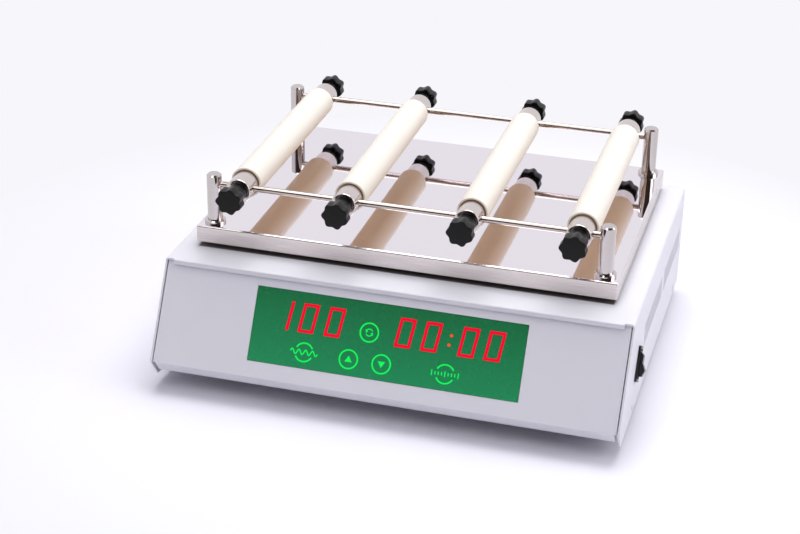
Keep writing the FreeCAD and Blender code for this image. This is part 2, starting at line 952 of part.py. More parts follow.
def make_crank_shaft():
    """The shaft and its disc, turned in one piece, with the thread for the crank pin in the disc."""
    outline = [
        (0.0, pulley_low - 2),
        (shaft_radius, pulley_low - 2),
        (shaft_radius, disc_low - shaft_shoulder),
        (shaft_radius + 2, disc_low - shaft_shoulder),
        (shaft_radius + 2, disc_low),
        (disc_radius, disc_low),
        (disc_radius, disc_top),
        (0.0, disc_top),
    ]
    shaft = turned(outline, Vector(crank_x, center_y, 0))
    hole = cylinder(crank_thread_radius, Vector(pin_x, pin_y, disc_low + 0.5), UP, disc_thickness)
    return shaft.cut(hole)


def make_connecting_rod():
    """The link from the crank pin to the wrist pin: two eyes joined by a waisted bar."""
    big = Vector(pin_x, pin_y, link_low)
    small = Vector(wrist_x, center_y, link_low)
    along = (small - big).normalize()
    across = Vector(-along.y, along.x, 0)
    link = cylinder(big_eye_radius, big, UP, link_thickness)
    link = link.fuse(cylinder(small_eye_radius, small, UP, link_thickness))

    def tapered(start, end, start_width, end_width, low, high):
        a = big + along * start
        b = small - along * end
        points = [a + across * start_width, b + across * end_width, b - across * end_width,
                  a - across * start_width]
        return plan_prism([(p.x, p.y) for p in points], low, high)

    top = link_low + link_thickness
    link = link.fuse(tapered(0, 0, 8.0, 5.5, link_low, top)).removeSplitter()
    for z in (link_low - 1, top - 2):
        link = link.cut(tapered(big_eye_radius + 6, small_eye_radius + 6, 4.0, 2.6, z, z + 3))
    link = link.cut(cylinder(big_bearing_radius + press_fit, big - UP, UP, link_thickness + 2))
    bush_seat = wrist_radius + bush_wall + press_fit
    return link.cut(cylinder(bush_seat, small - UP, UP, link_thickness + 2))


def make_link_bearings():
    """The ball bearing in the big eye and the bronze bush in the small one."""
    pin = Vector(pin_x, pin_y, link_low)
    wrist = Vector(wrist_x, center_y, link_low)
    bearing = tube(big_bearing_radius, pin_radius + press_fit, pin, UP, link_thickness)
    bush = tube(wrist_radius + bush_wall, wrist_radius + pin_fit, wrist, UP, link_thickness)
    return [bearing, bush]


def make_crank_pin():
    """A shoulder screw whose foot stops just above the disc."""
    foot = disc_top + pin_foot_gap
    head = link_low + link_thickness
    top = head + pin_head_height
    outline = [
        (0.0, foot),
        (pin_radius + 1.5, foot),
        (pin_radius + 1.5, link_low),
        (pin_radius, link_low),
        (pin_radius, head),
        (pin_head_radius, head),
        (pin_head_radius, top),
        (0.0, top),
    ]
    pin = turned(outline, Vector(pin_x, pin_y, 0))
    return pin.cut(hexagon(4.0, Vector(pin_x, pin_y, top - 1.8), 3.0))


def hexagon(across_flats, base, height):
    """A hexagonal prism that stands on a point."""
    corner = across_flats / math.sqrt(3)
    points = []
    for step in range(6):
        angle = math.radians(60 * step + 30)
        points.append((base.x + corner * math.cos(angle), base.y + corner * math.sin(angle)))
    return plan_prism(points, base.z, base.z + height)


def make_wrist_pin():
    outline = [
        (0.0, link_low - 2.0),
        (6.0, link_low - 2.0),
        (6.0, link_low - 0.3),
        (wrist_radius, link_low - 0.3),
        (wrist_radius, carriage_top - 1.0),
        (0.0, carriage_top - 1.0),
    ]
    return turned(outline, Vector(wrist_x, center_y, 0))


def bushing_places():
    xs = (platform_x - bushing_offset_x, platform_x + bushing_offset_x)
    return [Vector(x, center_y + side * guide_offset, guide_z) for x in xs for side in (-1, 1)]


def make_carriage():
    plate = block(
        platform_x - carriage_half_x, platform_x + carriage_half_x,
        center_y - carriage_half_y, center_y + carriage_half_y, carriage_low, carriage_top,
    )
    plate = plate.makeFillet(6.0, edges_along(plate, UP, lambda p: True))
    low = carriage_low - 1
    cuts = [cylinder(wrist_radius + press_fit, Vector(wrist_x, center_y, low), UP, 8)]
    cuts.append(slot(17.0, 16.0, crank_x, center_y, low, carriage_top + 1))
    for x, y in mirrored_pairs(platform_x, pillar_offset_x, pillar_offset_y):
        cuts.append(cylinder(pillar_bore, Vector(x, y, low), UP, 8))
    return plate.cut(cuts)


def make_bushing_blocks():
    """The pillow blocks that hold the linear bushings under the carriage."""
    blocks = []
    for place in bushing_places():
        body = block(
            place.x - block_half_x, place.x + block_half_x,
            place.y - block_half_y, place.y + block_half_y, place.z - bushing_radius - 2.5, carriage_low,
        )
        body = body.makeFillet(4.0, edges_along(body, RIGHT, lambda p: p.z < guide_z))
        start = Vector(place.x - block_half_x - 1, place.y, place.z)
        bore = cylinder(bushing_radius + press_fit, start, RIGHT, 2 * block_half_x + 2)
        blocks.append(body.cut(bore))
    return blocks


def make_linear_bushings():
    bushings = []
    for place in bushing_places():
        start = Vector(place.x - bushing_half, place.y, place.z)
        bushing = tube(bushing_radius, guide_radius + guide_fit, start, RIGHT, 2 * bushing_half)
        for x in (place.x - 9, place.x + 8):
            groove = tube(bushing_radius + 1, bushing_radius - 0.4, Vector(x, place.y, place.z), RIGHT, 1.0)
            bushing = bushing.cut(groove)
        bushings.append(bushing)
    return bushings


def make_guide_rods():
    rods = []
    for side in (-1, 1):
        start = Vector(center_x - guide_half, center_y + side * guide_offset, guide_z)
        bar = cylinder(guide_radius, start, RIGHT, 2 * guide_half)
        ends = [edge for edge in bar.Edges if edge.Curve.TypeId == "Part::GeomCircle"]
        rods.append(bar.makeChamfer(0.8, ends))
    return rods


def make_rod_supports():
    """Shaft supports: a foot, a tapering stem and a split clamp around the rod's end."""
    supports = []
    for side_x in (-1, 1):
        for side_y in (-1, 1):
            x = center_x + side_x * guide_support_x
            y = center_y + side_y * guide_offset
            points = [
                (y - support_half, drive_top),
                (y + support_half, drive_top),
                (y + support_half, drive_top + 6),
                (y + support_stem, drive_top + 9),
                (y + support_stem, guide_z + 9),
                (y - support_stem, guide_z + 9),
                (y - support_stem, drive_top + 9),
                (y - support_half, drive_top + 6),
            ]
            x_low = x - support_thickness / 2
            x_high = x + support_thickness / 2
            support = side_prism(points, x_low, x_high)
            start = Vector(x_low - 1, y, guide_z)
            bore = cylinder(guide_radius + press_fit, start, RIGHT, support_thickness + 2)
            split = block(x_low - 1, x_high + 1, y - 0.6, y + 0.6, guide_z, guide_z + 12)
            supports.append(support.cut([bore, split]))
    return supports


def make_pillars():
    length = platform_under - carriage_top
    return [
        tube(pillar_radius, pillar_bore, Vector(x, y, carriage_top), UP, length)
        for x, y in mirrored_pairs(platform_x, pillar_offset_x, pillar_offset_y)
    ]


def make_pillar_screws():
    screws = []
    for x, y in mirrored_pairs(platform_x, pillar_offset_x, pillar_offset_y):
        head = cylinder(5.0, Vector(x, y, carriage_low - 5.0), UP, 5.0)
        head = head.cut(hexagon(5.0, Vector(x, y, carriage_low - 6.0), 3.5))
        shank = cylinder(3.0, Vector(x, y, carriage_low - 1), UP, carriage_thickness + 15)
        screws.append(head.fuse(shank).removeSplitter())
    return screws


def make_motor():
    """The gearmotor stands on the drive plate with its shaft pointing down."""
    outline = [
        (motor_shaft_radius + shaft_fit, drive_top - 3),
        (9.0, drive_top - 3),
        (9.0, drive_top),
        (motor_radius, drive_top),
        (motor_radius, drive_top + 20),
        (motor_radius - 2.5, drive_top + 21),
        (motor_radius - 2.5, drive_top + motor_height - 3),
        (motor_radius - 5.5, drive_top + motor_height),
        (0.0, drive_top + motor_height),
        (0.0, drive_top + 12),
        (motor_shaft_radius + shaft_fit, drive_top + 12),
    ]
    motor = turned(outline, Vector(motor_x, center_y, 0))
    for side in (-1, 1):
        tab = block(
            motor_x - 0.4, motor_x + 0.4, center_y + side * 10 - 2.4, center_y + side * 10 + 2.4,
            drive_top + motor_height - 1, drive_top + motor_height + 7,
        )
        motor = motor.fuse(tab)
    return motor.removeSplitter()


def make_motor_shaft():
    length = drive_top + 11 - (pulley_low - 1)
    return cylinder(motor_shaft_radius, Vector(motor_x, center_y, pulley_low - 1), UP, length)


def make_motor_pulley():
    center = Vector(motor_x, center_y, 0)
    wheel = toothed_pulley(motor_teeth, center, motor_shaft_radius + press_fit, 0)
    radius = pitch_radius(motor_teeth) + 2.0
    for z in (pulley_low - 1.0, pulley_low + pulley_width):
        flange = tube(radius, motor_shaft_radius + press_fit, Vector(motor_x, center_y, z), UP, 1.0)
        wheel = wheel.fuse(flange)
    return wheel.removeSplitter()


def belt_outline(radius_a, radius_b, z):
    """The face inside a tight loop around the motor pulley and the crank pulley."""
    a = Vector(motor_x, center_y, z)
    b = Vector(crank_x, center_y, z)
    lean = math.asin((radius_b - radius_a) / belt_centres)
    corners = []
    for center, radius in ((a, radius_a), (b, radius_b)):
        for side in (1, -1):
            normal = Vector(-math.sin(lean), side * math.cos(lean), 0)
            corners.append(center + normal * radius)
    back = Part.Arc(corners[1], a - RIGHT * radius_a, corners[0]).toShape()
    top = Part.makeLine(corners[0], corners[2])
    front = Part.Arc(corners[2], b + RIGHT * radius_b, corners[3]).toShape()
    low = Part.makeLine(corners[3], corners[1])
    return Part.Face(Part.Wire([back, top, front, low]))


def belt_stretches(radius_a, radius_b):
    """The belt's runs and arcs in turn: length, centre, radius, first angle and whether it bends."""
    lean = math.asin((radius_b - radius_a) / belt_centres)
    straight = belt_centres * math.cos(lean)
    turn = math.pi / 2 + lean
    return (
        (straight, motor_x, radius_a, -turn, False),
        (2 * turn * radius_b, crank_x, radius_b, -turn, True),
        (straight, crank_x, radius_b, turn, False),
        (2 * (math.pi - turn) * radius_a, motor_x, radius_a, turn, True),
    )


def belt_spot(distance, stretches):
    """A point on the belt's inner face, the direction out of the belt there, and the one along it."""
    for length, x, radius, angle, bends in stretches:
        if distance < length:
            break
        distance -= length
    if bends:
        angle += distance / radius
    outward = Vector(math.cos(angle), math.sin(angle), 0)
    forward = Vector(-outward.y, outward.x, 0)
    spot = Vector(x, center_y, 0) + outward * radius
    if not bends:
        spot += forward * distance
    return spot, outward, forward


def make_drive_belt():
    """A toothed belt, held just clear of the pulleys' tips, with a groove between each pair of teeth."""
    inner_a = pitch_radius(motor_teeth) - pitch_line_offset + belt_clearance
    inner_b = pitch_radius(crank_teeth) - pitch_line_offset + belt_clearance
    z = pulley_low + 1.0
    width = pulley_width - 2.0
    outer = belt_outline(inner_a + belt_thickness, inner_b + belt_thickness, z).extrude(UP * width)
    inner = belt_outline(inner_a, inner_b, z).extrude(UP * width)
    belt = outer.cut(inner)
    stretches = belt_stretches(inner_a, inner_b)
    length = sum(stretch[0] for stretch in stretches)
    teeth = round(length / belt_tooth_pitch)
    grooves = []
    for tooth in range(teeth):
        spot, outward, forward = belt_spot(length * (tooth + 0.5) / teeth, stretches)
        mouth = spot - outward * 0.5
        floor = spot + outward * belt_groove_depth
        wide = forward * (belt_groove_mouth / 2)
        narrow = forward * (belt_groove_floor / 2)
        corners = (mouth - wide, mouth + wide, floor + narrow, floor - narrow)
        grooves.append(plan_prism([(p.x, p.y) for p in corners], z - 1, z + width + 1))
    return belt.cut(grooves)


# Electronics inside the case

supply_wall_gap = 15.5
supply_width = 48.0
supply_y0 = -62.0
supply_y1 = 60.0
supply_height = 36.0
control_setback = 36.0
control_depth = 56.0
control_left = 96.0
control_width = 156.0
control_y0 = foot_line_y + control_setback
control_y1 = control_y0 + control_depth
control_x0 = center_x - control_left
control_x1 = control_x0 + control_width
control_rise = 8.0


def make_power_supply():
    """A caged switching supply with a vented lid and a terminal strip."""
    x1 = case_right - supply_wall_gap
    x0 = x1 - supply_width
    y0 = center_y + supply_y0
    y1 = center_y + supply_y1
    top = tray_floor + supply_height
    cage = block(x0, x1, y0, y1, tray_floor, top)
    cage = cage.cut(block(x0 + 1, x1 - 1, y0 - 1, y0 + 14, tray_floor + 6, top + 1))
    vents = []
    for step in range(10):
        y = y0 + 26 + step * 9
        vents.append(block(x0 + 8, x1 - 8, y, y + 4, top - 1.2, top + 1))
    cage = cage.cut(vents)
    for step in range(5):
        x = x0 + 6 + step * 8
        cage = cage.fuse(block(x, x + 6, y0 + 2, y0 + 12, tray_floor + 6, tray_floor + 18))
    return cage.removeSplitter()


def control_corners():
    return [(x, y) for x in (control_x0 + 5, control_x1 - 5) for y in (control_y0 + 5, control_y1 - 5)]


def make_control_board():
    base = tray_floor + control_rise
    board = block(control_x0, control_x1, control_y0, control_y1, base, base + board_thickness)
    for x, y in control_corners():
        board = board.cut(cylinder(board_screw_radius + screw_clearance, Vector(x, y, base - 1), UP, 4))
    top = base + board_thickness
    parts = [
        block(control_x0 + 14, control_x0 + 34, control_y0 + 8, control_y0 + 28, top, top + 3),
        block(control_x0 + 42, control_x0 + 72, control_y1 - 16, control_y1 - 6, top, top + 10),
        block(control_x1 - 40, control_x1 - 18, control_y1 - 20, control_y1 - 6, top, top + 14),
        cylinder(6.0, Vector(control_x1 - 50, control_y0 + 18, top), UP, 18),
        cylinder(6.0, Vector(control_x1 - 34, control_y0 + 18, top), UP, 18),
    ]
    return board.fuse(parts).removeSplitter()


def make_control_standoffs():
    return [
        tube(3.0, board_screw_radius, Vector(x, y, tray_floor), UP, control_rise)
        for x, y in control_corners()
    ]


# The platform with its posts and rails


def make_platform():
    """A folded tray with its open side down."""
    x0 = platform_x - platform_width / 2
    x1 = platform_x + platform_width / 2
    y0 = center_y - platform_depth / 2
    y1 = center_y + platform_depth / 2
    outer = block(x0, x1, y0, y1, platform_low, platform_top)
    rounded = edges_along(outer, UP, lambda p: True)
    rounded += [edge for edge in outer.Edges if edge.CenterOfMass.z > platform_top - 0.1]
    outer = outer.makeFillet(platform_corner, rounded)
    sheet = platform_sheet
    inner = block(x0 + sheet, x1 - sheet, y0 + sheet, y1 - sheet, platform_low - 1, platform_under)
    tray = outer.cut(inner)
    for x, y in mirrored_pairs(platform_x, post_offset, rail_offset):
        tray = tray.cut(cylinder(post_screw_hole, Vector(x, y, platform_low), UP, platform_edge + 1))
    return tray


def make_post_collars():
    outline = [
        (post_screw_hole, 0.0),
        (collar_radius, 0.0),
        (collar_radius, collar_height - 1.0),
        (collar_radius - 1.0, collar_height),
        (post_screw_hole, collar_height),
    ]
    places = mirrored_pairs(platform_x, post_offset, rail_offset)
    return [turned(outline, Vector(x, y, platform_top)) for x, y in places]


def make_corner_posts():
    posts = []
    for x, y in mirrored_pairs(platform_x, post_offset, rail_offset):
        outline = [
            (0.0, collar_height),
            (post_radius, collar_height),
            (post_radius, post_height - post_chamfer),
            (post_radius - post_chamfer, post_height),
            (0.0, post_height),
        ]
        post = turned(outline, Vector(x, y, platform_top))
        thread = cylinder(
            post_screw_radius + 0.05, Vector(x, y, platform_top), UP, collar_height + post_screw_depth + 2
        )
        post = post.cut(thread)
        inward = RIGHT if x < platform_x else RIGHT.negative()
        start = Vector(x, y, rail_z) + inward * (post_radius - rail_seat - 0.2)
        posts.append(post.cut(cylinder(rail_radius + rail_fit, start, inward, rail_seat + 2)))
    return posts


def make_post_screws():
    screws = []
    length = 1 + platform_sheet + collar_height + post_screw_depth
    for x, y in mirrored_pairs(platform_x, post_offset, rail_offset):
        head = hexagon(10.0, Vector(x, y, platform_under - 4.0), 4.0)
        shank = cylinder(post_screw_radius, Vector(x, y, platform_under - 1), UP, length)
        screws.append(head.fuse(shank).removeSplitter())
    return screws


def make_rails():
    half = post_offset - post_radius + rail_seat
    rails = []
    for side in (-1, 1):
        start = Vector(platform_x - half, center_y + side * rail_offset, rail_z)
        rails.append(cylinder(rail_radius, start, RIGHT, 2 * half))
    return rails


# The clamp bars and their knobs


def make_bar_core(x):
    """A stainless tube with a solid end piece at each end, bored across for the rail."""
    start = Vector(platform_x + x, center_y - bar_reach, rail_z)
    core = cylinder(bar_radius, start, BACK, 2 * bar_reach)
    rims = [edge for edge in core.Edges if edge.Curve.TypeId == "Part::GeomCircle"]
    core = core.makeFillet(bar_rim, rims)
    hollow = cylinder(bar_radius - bar_wall, start + BACK * bar_plug, BACK, 2 * (bar_reach - bar_plug))
    cuts = [hollow]
    for side in (-1, 1):
        end = Vector(platform_x + x, center_y + side * bar_reach, rail_z)
        rail = Vector(platform_x + x - 2 * bar_radius, center_y + side * rail_offset, rail_z)
        cuts.append(cylinder(rail_radius + bar_bore_clearance, rail, RIGHT, 4 * bar_radius))
        cuts.append(cylinder(stud_radius + stud_clearance, end, BACK * -side, bar_reach - rail_offset))
    return core.cut(cuts)


def make_sleeve(x):
    """A silicone sleeve, with a small chamfer where the bar enters its bore."""
    start = Vector(platform_x + x, center_y - sleeve_reach, rail_z)
    sleeve = cylinder(sleeve_radius, start, BACK, 2 * sleeve_reach)
    rims = [edge for edge in sleeve.Edges if edge.Curve.TypeId == "Part::GeomCircle"]
    sleeve = sleeve.makeFillet(sleeve_rim, rims)
    bore = bar_radius + sleeve_fit
    cuts = [cylinder(bore, start, BACK, 2 * sleeve_reach)]
    for side in (-1, 1):
        mouth = Vector(platform_x + x, center_y + side * sleeve_reach, rail_z)
        cuts.append(Part.makeCone(bore + sleeve_bore_chamfer, bore, sleeve_bore_chamfer, mouth, BACK * -side))
    return sleeve.cut(cuts)


def star_outline():
    """The knob head's edge: round lobes with shallow round valleys between them."""
    edges = []
    step = 2 * math.pi / knob_lobes

    def spot(radius, angle):
        return Vector(radius * math.cos(angle), radius * math.sin(angle), 0)

    for lobe in range(knob_lobes):
        angle = math.radians(knob_rest_turn) + lobe * step
        shoulder = knob_head_radius - knob_shoulder
        start = spot(shoulder, angle - step * knob_lobe_share)
        end = spot(shoulder, angle + step * knob_lobe_share)
        following = spot(shoulder, angle + step * (1 - knob_lobe_share))
        edges.append(Part.Arc(start, spot(knob_head_radius, angle), end).toShape())
        edges.append(Part.Arc(end, spot(knob_valley_radius, angle + step / 2), following).toShape())
    return Part.Wire(edges)


def make_knob(x, side):
    """A star knob with a round hub and a steel stud."""
    head = Part.Face(star_outline()).extrude(Vector(0, 0, knob_head_length))
    head = head.translate(Vector(0, 0, knob_hub_length))
    dome = turned(
        [
            (0.0, 0.0),
            (knob_head_radius - knob_dome, 0.0),
            (knob_head_radius + 0.3, knob_dome),
            (knob_head_radius + 0.3, knob_head_length - knob_dome),
            (knob_head_radius - knob_dome, knob_head_length),
            (0.0, knob_head_length),
        ],
        Vector(0, 0, knob_hub_length),
    )
    head = head.common(dome)
    hub = cylinder(knob_hub_radius, Vector(0, 0, 0), UP, knob_hub_length + 1)
    stud_length = bar_reach + knob_gap - rail_offset - rail_radius - stud_rail_gap
    stud = cylinder(stud_radius, Vector(0, 0, -stud_length), UP, stud_length + 1)
    knob = head.fuse([hub, stud]).removeSplitter()
    place = Vector(platform_x + x, center_y + side * (bar_reach + knob_gap), rail_z)
    turn = FreeCAD.Rotation(RIGHT, -90 * side)
    knob.Placement = FreeCAD.Placement(place, turn)
    return knob


def main():
    os.makedirs("parts", exist_ok=True)
    save("top_cover", [make_top_cover()])
    save("case_screws", make_case_screws())
    save("bottom_tray", [make_bottom_tray()])
    save("rubber_feet", make_rubber_feet())
    save("foot_screws", make_foot_screws())
    save("front_panel", [make_front_panel()])
    save("display_window", [make_display_window()])
    save("display_board", [make_display_board()])
    save("board_standoffs", make_display_spacers() + make_control_standoffs())
    save("digit_displays", make_digit_displays())
    save("touch_rings", make_touch_rings())
    save("switch_frame", [make_switch_frame()])
    save("switch_rocker", [make_rocker()])
    save("rear_panel", [make_rear_panel()])
    save("power_inlet", [make_power_inlet()])
    save("fuse_drawer", [make_fuse_drawer()])
    save("drive_plate", [make_drive_plate()])
    save("drive_standoffs", make_drive_standoffs())
    save("bearing_housing", [make_bearing_housing()])
    save("crank_bearings", make_crank_bearings())
    save("crank_shaft", [make_crank_shaft()])
    pulley = toothed_pulley(crank_teeth, Vector(crank_x, center_y, 0), shaft_radius + 0.02, 5)
    save("crank_pulley", [pulley])
    save("drive_belt", [make_drive_belt()])
    save("connecting_rod", [make_connecting_rod()])
    save("link_bearings", make_link_bearings())
    save("crank_pin", [make_crank_pin()])
    save("wrist_pin", [make_wrist_pin()])
    save("carriage", [make_carriage()])
    save("bushing_blocks", make_bushing_blocks())
    save("linear_bushings", make_linear_bushings())
    save("guide_rods", make_guide_rods())
    save("rod_supports", make_rod_supports())
    save("platform_pillars", make_pillars())
    save("platform_screws", make_pillar_screws() + make_post_screws())
    save("motor", [make_motor()])
    save("motor_shaft", [make_motor_shaft()])
    save("motor_pulley", [make_motor_pulley()])
    save("power_supply", [make_power_supply()])
    save("control_board", [make_control_board()])
    save("platform", [make_platform()])
    save("corner_posts", make_corner_posts())
    save("post_collars", make_post_collars())
    save("guide_rails", make_rails())
    for number, x in enumerate(bar_places, start=1):
        save("clamp_bar_" + str(number), [make_bar_core(x)])
        save("sleeve_" + str(number), [make_sleeve(x)])
        save("front_knob_" + str(number), [make_knob(x, -1)])
        save("rear_knob_" + str(number), [make_knob(x, 1)])


main()
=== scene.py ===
import math

import bmesh
import bpy
from mathutils import Matrix, Vector


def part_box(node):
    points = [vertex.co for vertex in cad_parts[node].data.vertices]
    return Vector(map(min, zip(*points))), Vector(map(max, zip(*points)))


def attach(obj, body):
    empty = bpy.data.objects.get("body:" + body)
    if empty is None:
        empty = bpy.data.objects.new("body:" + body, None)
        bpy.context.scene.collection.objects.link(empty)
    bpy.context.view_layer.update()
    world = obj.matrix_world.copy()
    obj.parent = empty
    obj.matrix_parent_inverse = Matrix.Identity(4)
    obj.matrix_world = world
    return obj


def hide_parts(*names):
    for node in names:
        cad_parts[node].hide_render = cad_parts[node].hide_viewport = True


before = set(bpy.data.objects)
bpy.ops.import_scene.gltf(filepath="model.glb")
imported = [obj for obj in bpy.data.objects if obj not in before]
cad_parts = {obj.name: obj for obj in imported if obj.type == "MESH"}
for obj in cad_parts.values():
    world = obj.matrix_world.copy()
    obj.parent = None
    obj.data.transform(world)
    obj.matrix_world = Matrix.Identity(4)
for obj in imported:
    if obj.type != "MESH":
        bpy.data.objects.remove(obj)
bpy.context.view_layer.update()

# A reciprocating shaker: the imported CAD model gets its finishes, and the pieces that need more
# than the CAD gives are made here: star knobs, sleeves, case screws, glowing figures and key symbols.
# Metres, in the frame of the CAD model: X to the right, Y to the rear, Z up.

MM = 0.001
RIGHT = Vector((1, 0, 0))


# Places taken from the CAD model

def middle(node):
    low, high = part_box(node)
    return (low + high) / 2


bars = (1, 2, 3, 4)
plate_low, plate_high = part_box("platform")
plate_top = Vector((middle("platform").x, middle("platform").y, plate_high.z))
rail_z = middle("guide_rails").z
sleeve_low, sleeve_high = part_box("sleeve_1")
sleeve_radius = (sleeve_high.z - sleeve_low.z) / 2
sleeve_length = sleeve_high.y - sleeve_low.y
bar_low, bar_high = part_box("clamp_bar_1")
bar_radius = (bar_high.z - bar_low.z) / 2
panel_run = 40.0 * MM
panel_drop = 70.0 * MM
panel_up = Vector((0, panel_run, panel_drop)).normalized()
panel_out = RIGHT.cross(panel_up)
panel_turn = Matrix((RIGHT, panel_up, panel_out)).transposed().to_4x4()
window_thickness = 2.0 * MM
window_face = middle("display_window") + panel_out * (window_thickness / 2)
window_place = Matrix.Translation(window_face) @ panel_turn


# Colours, nodes and materials

def colour(code, share=1.0):
    """A linear colour from an sRGB hex value, darkened to a share of it."""
    parts = []
    for start in (1, 3, 5):
        value = int(code[start:start + 2], 16) / 255
        parts.append(share * (value / 12.92 if value <= 0.04045 else ((value + 0.055) / 1.055) ** 2.4))
    return (*parts, 1.0)


def add(tree, kind, sockets=None, **settings):
    """Add a node with its settings, and set or link its input sockets."""
    node = tree.nodes.new(kind)
    for name, value in settings.items():
        setattr(node, name, value)
    for key, value in (sockets or {}).items():
        if isinstance(value, bpy.types.NodeSocket):
            tree.links.new(value, node.inputs[key])
        else:
            node.inputs[key].default_value = value
    return node


def per_mm(size):
    """The scale of a pattern whose grains are about this many millimetres across."""
    return 1 / (size * MM)


def new_material(name):
    material = bpy.data.materials.new(name)
    material.use_nodes = True
    tree = material.node_tree
    tree.nodes.clear()
    coords = add(tree, "ShaderNodeTexCoord").outputs["Object"]
    return material, tree, coords


def finish_surface(tree, relief, depth_mm, sockets):
    """Close a material with a shader whose surface is raised by a pattern."""
    raised = add(tree, "ShaderNodeBump", {"Height": relief, "Distance": depth_mm * MM, "Strength": 0.5})
    shader = add(tree, "ShaderNodeBsdfPrincipled", {**sockets, "Normal": raised.outputs[0]})
    add(tree, "ShaderNodeOutputMaterial", {"Surface": shader.outputs[0]})


def powder_coat():
    """Polyester powder baked on steel sheet: satin light grey, with the low swells of orange peel.

    The peel is drawn 2 mm across, as coarse as it needs to be to show, and a slow change of shade
    keeps the large flat walls from looking printed. On the cover under the platform, a dark grey
    painted shade stands for the shadow in the gap beneath the platform's skirt.
    """
    material, tree, coords = new_material("powder_coated_steel_sheet")
    peel = add(tree, "ShaderNodeTexNoise", {
        "Vector": coords, "Scale": per_mm(2.0), "Detail": 3.0,
    }).outputs[0]
    cloud = add(tree, "ShaderNodeTexNoise", {
        "Vector": coords, "Scale": per_mm(70), "Detail": 1.0,
    }).outputs[0]
    tint = add(tree, "ShaderNodeMix", {
        0: cloud, 6: colour("#dfdee4"), 7: colour("#d9d8df"),
    }, data_type="RGBA").outputs[2]
    # Painted shade: the cover's top under the platform turns dark grey, for the shadow in the gap under the
    # skirt.
    cover_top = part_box("top_cover")[1].z
    centred = add(tree, "ShaderNodeVectorMath", {
        0: coords, 1: (plate_top.x, plate_top.y, cover_top),
    }, operation="SUBTRACT").outputs[0]
    offset = add(tree, "ShaderNodeVectorMath", {0: centred}, operation="ABSOLUTE").outputs[0]
    half_size = (plate_high - plate_low) / 2
    shade_side_inset = 1.5 * MM
    shade_edge = 1.0 * MM
    reach = (half_size.x - shade_side_inset, half_size.y + shade_edge, shade_edge)
    inside = add(tree, "ShaderNodeVectorMath", {0: reach, 1: offset}, operation="SUBTRACT").outputs[0]
    sides = add(tree, "ShaderNodeSeparateXYZ", {0: inside}).outputs
    nearest = add(tree, "ShaderNodeMath", {0: sides["X"], 1: sides["Y"]}, operation="MINIMUM").outputs[0]
    least = add(tree, "ShaderNodeMath", {0: nearest, 1: sides["Z"]}, operation="MINIMUM").outputs[0]
    painted_shade = add(tree, "ShaderNodeMapRange", {"Value": least, "From Max": shade_edge}).outputs[0]
    coat = add(tree, "ShaderNodeMix", {
        0: painted_shade, 6: tint, 7: colour("#67615d"),
    }, data_type="RGBA").outputs[2]
    rough = add(tree, "ShaderNodeMapRange", {"Value": peel, "To Min": 0.42, "To Max": 0.54}).outputs[0]
    finish_surface(tree, peel, 0.02, {"Base Color": coat, "Roughness": rough, "IOR": 1.5})
    return material


def platform_steel():
    """One folded stainless sheet: the top polished to a mirror, the skirt left brushed lengthwise.

    The brushing's lines are drawn 0.5 mm apart, coarser than real grit, so that they show. The
    mirror has the long faint wipes of its cleaning cloth, and a soft dulling at its rolled edge.
    """
    material, tree, coords = new_material("mirror_top_brushed_skirt_stainless")
    height = add(tree, "ShaderNodeSeparateXYZ", {0: coords}).outputs["Z"]
    edge_low = plate_top.z - 0.9 * MM
    edge_high = plate_top.z - 0.2 * MM
    top = add(tree, "ShaderNodeMapRange", {
        "Value": height, "From Min": edge_low, "From Max": edge_high,
    }).outputs[0]
    along = add(tree, "ShaderNodeMapping", {
        "Vector": coords, "Scale": (per_mm(30), per_mm(30), per_mm(0.5)),
    }).outputs[0]
    lines = add(tree, "ShaderNodeTexNoise", {"Vector": along, "Scale": 1.0, "Detail": 3.0}).outputs[0]
    swung = add(tree, "ShaderNodeMapping", {
        "Vector": coords, "Rotation": (0, 0, 0.3), "Scale": (per_mm(120), per_mm(18), 1.0),
    }).outputs[0]
    wipes = add(tree, "ShaderNodeTexNoise", {"Vector": swung, "Scale": 1.0, "Detail": 3.0}).outputs[0]
    side_rough = add(tree, "ShaderNodeMapRange", {
        "Value": lines, "To Min": 0.14, "To Max": 0.34,
    }).outputs[0]
    top_rough = add(tree, "ShaderNodeMapRange", {
        "Value": wipes, "To Min": 0.01, "To Max": 0.05,
    }).outputs[0]
    rough = add(tree, "ShaderNodeMix", {0: top, 2: side_rough, 3: top_rough}).outputs[0]
    side_tint = add(tree, "ShaderNodeMix", {
        0: lines, 6: colour("#c0b6b3"), 7: colour("#f4eeeb"),
    }, data_type="RGBA").outputs[2]
    tint = add(tree, "ShaderNodeMix", {
        0: top, 6: side_tint, 7: colour("#ebe5ea"),
    }, data_type="RGBA").outputs[2]
    flat = add(tree, "ShaderNodeMath", {0: 1.0, 1: top}, operation="SUBTRACT").outputs[0]
    relief = add(tree, "ShaderNodeMath", {0: lines, 1: flat}, operation="MULTIPLY").outputs[0]
    finish_surface(tree, relief, 0.02, {"Base Color": tint, "Roughness": rough, "Metallic": 1.0})
    return material


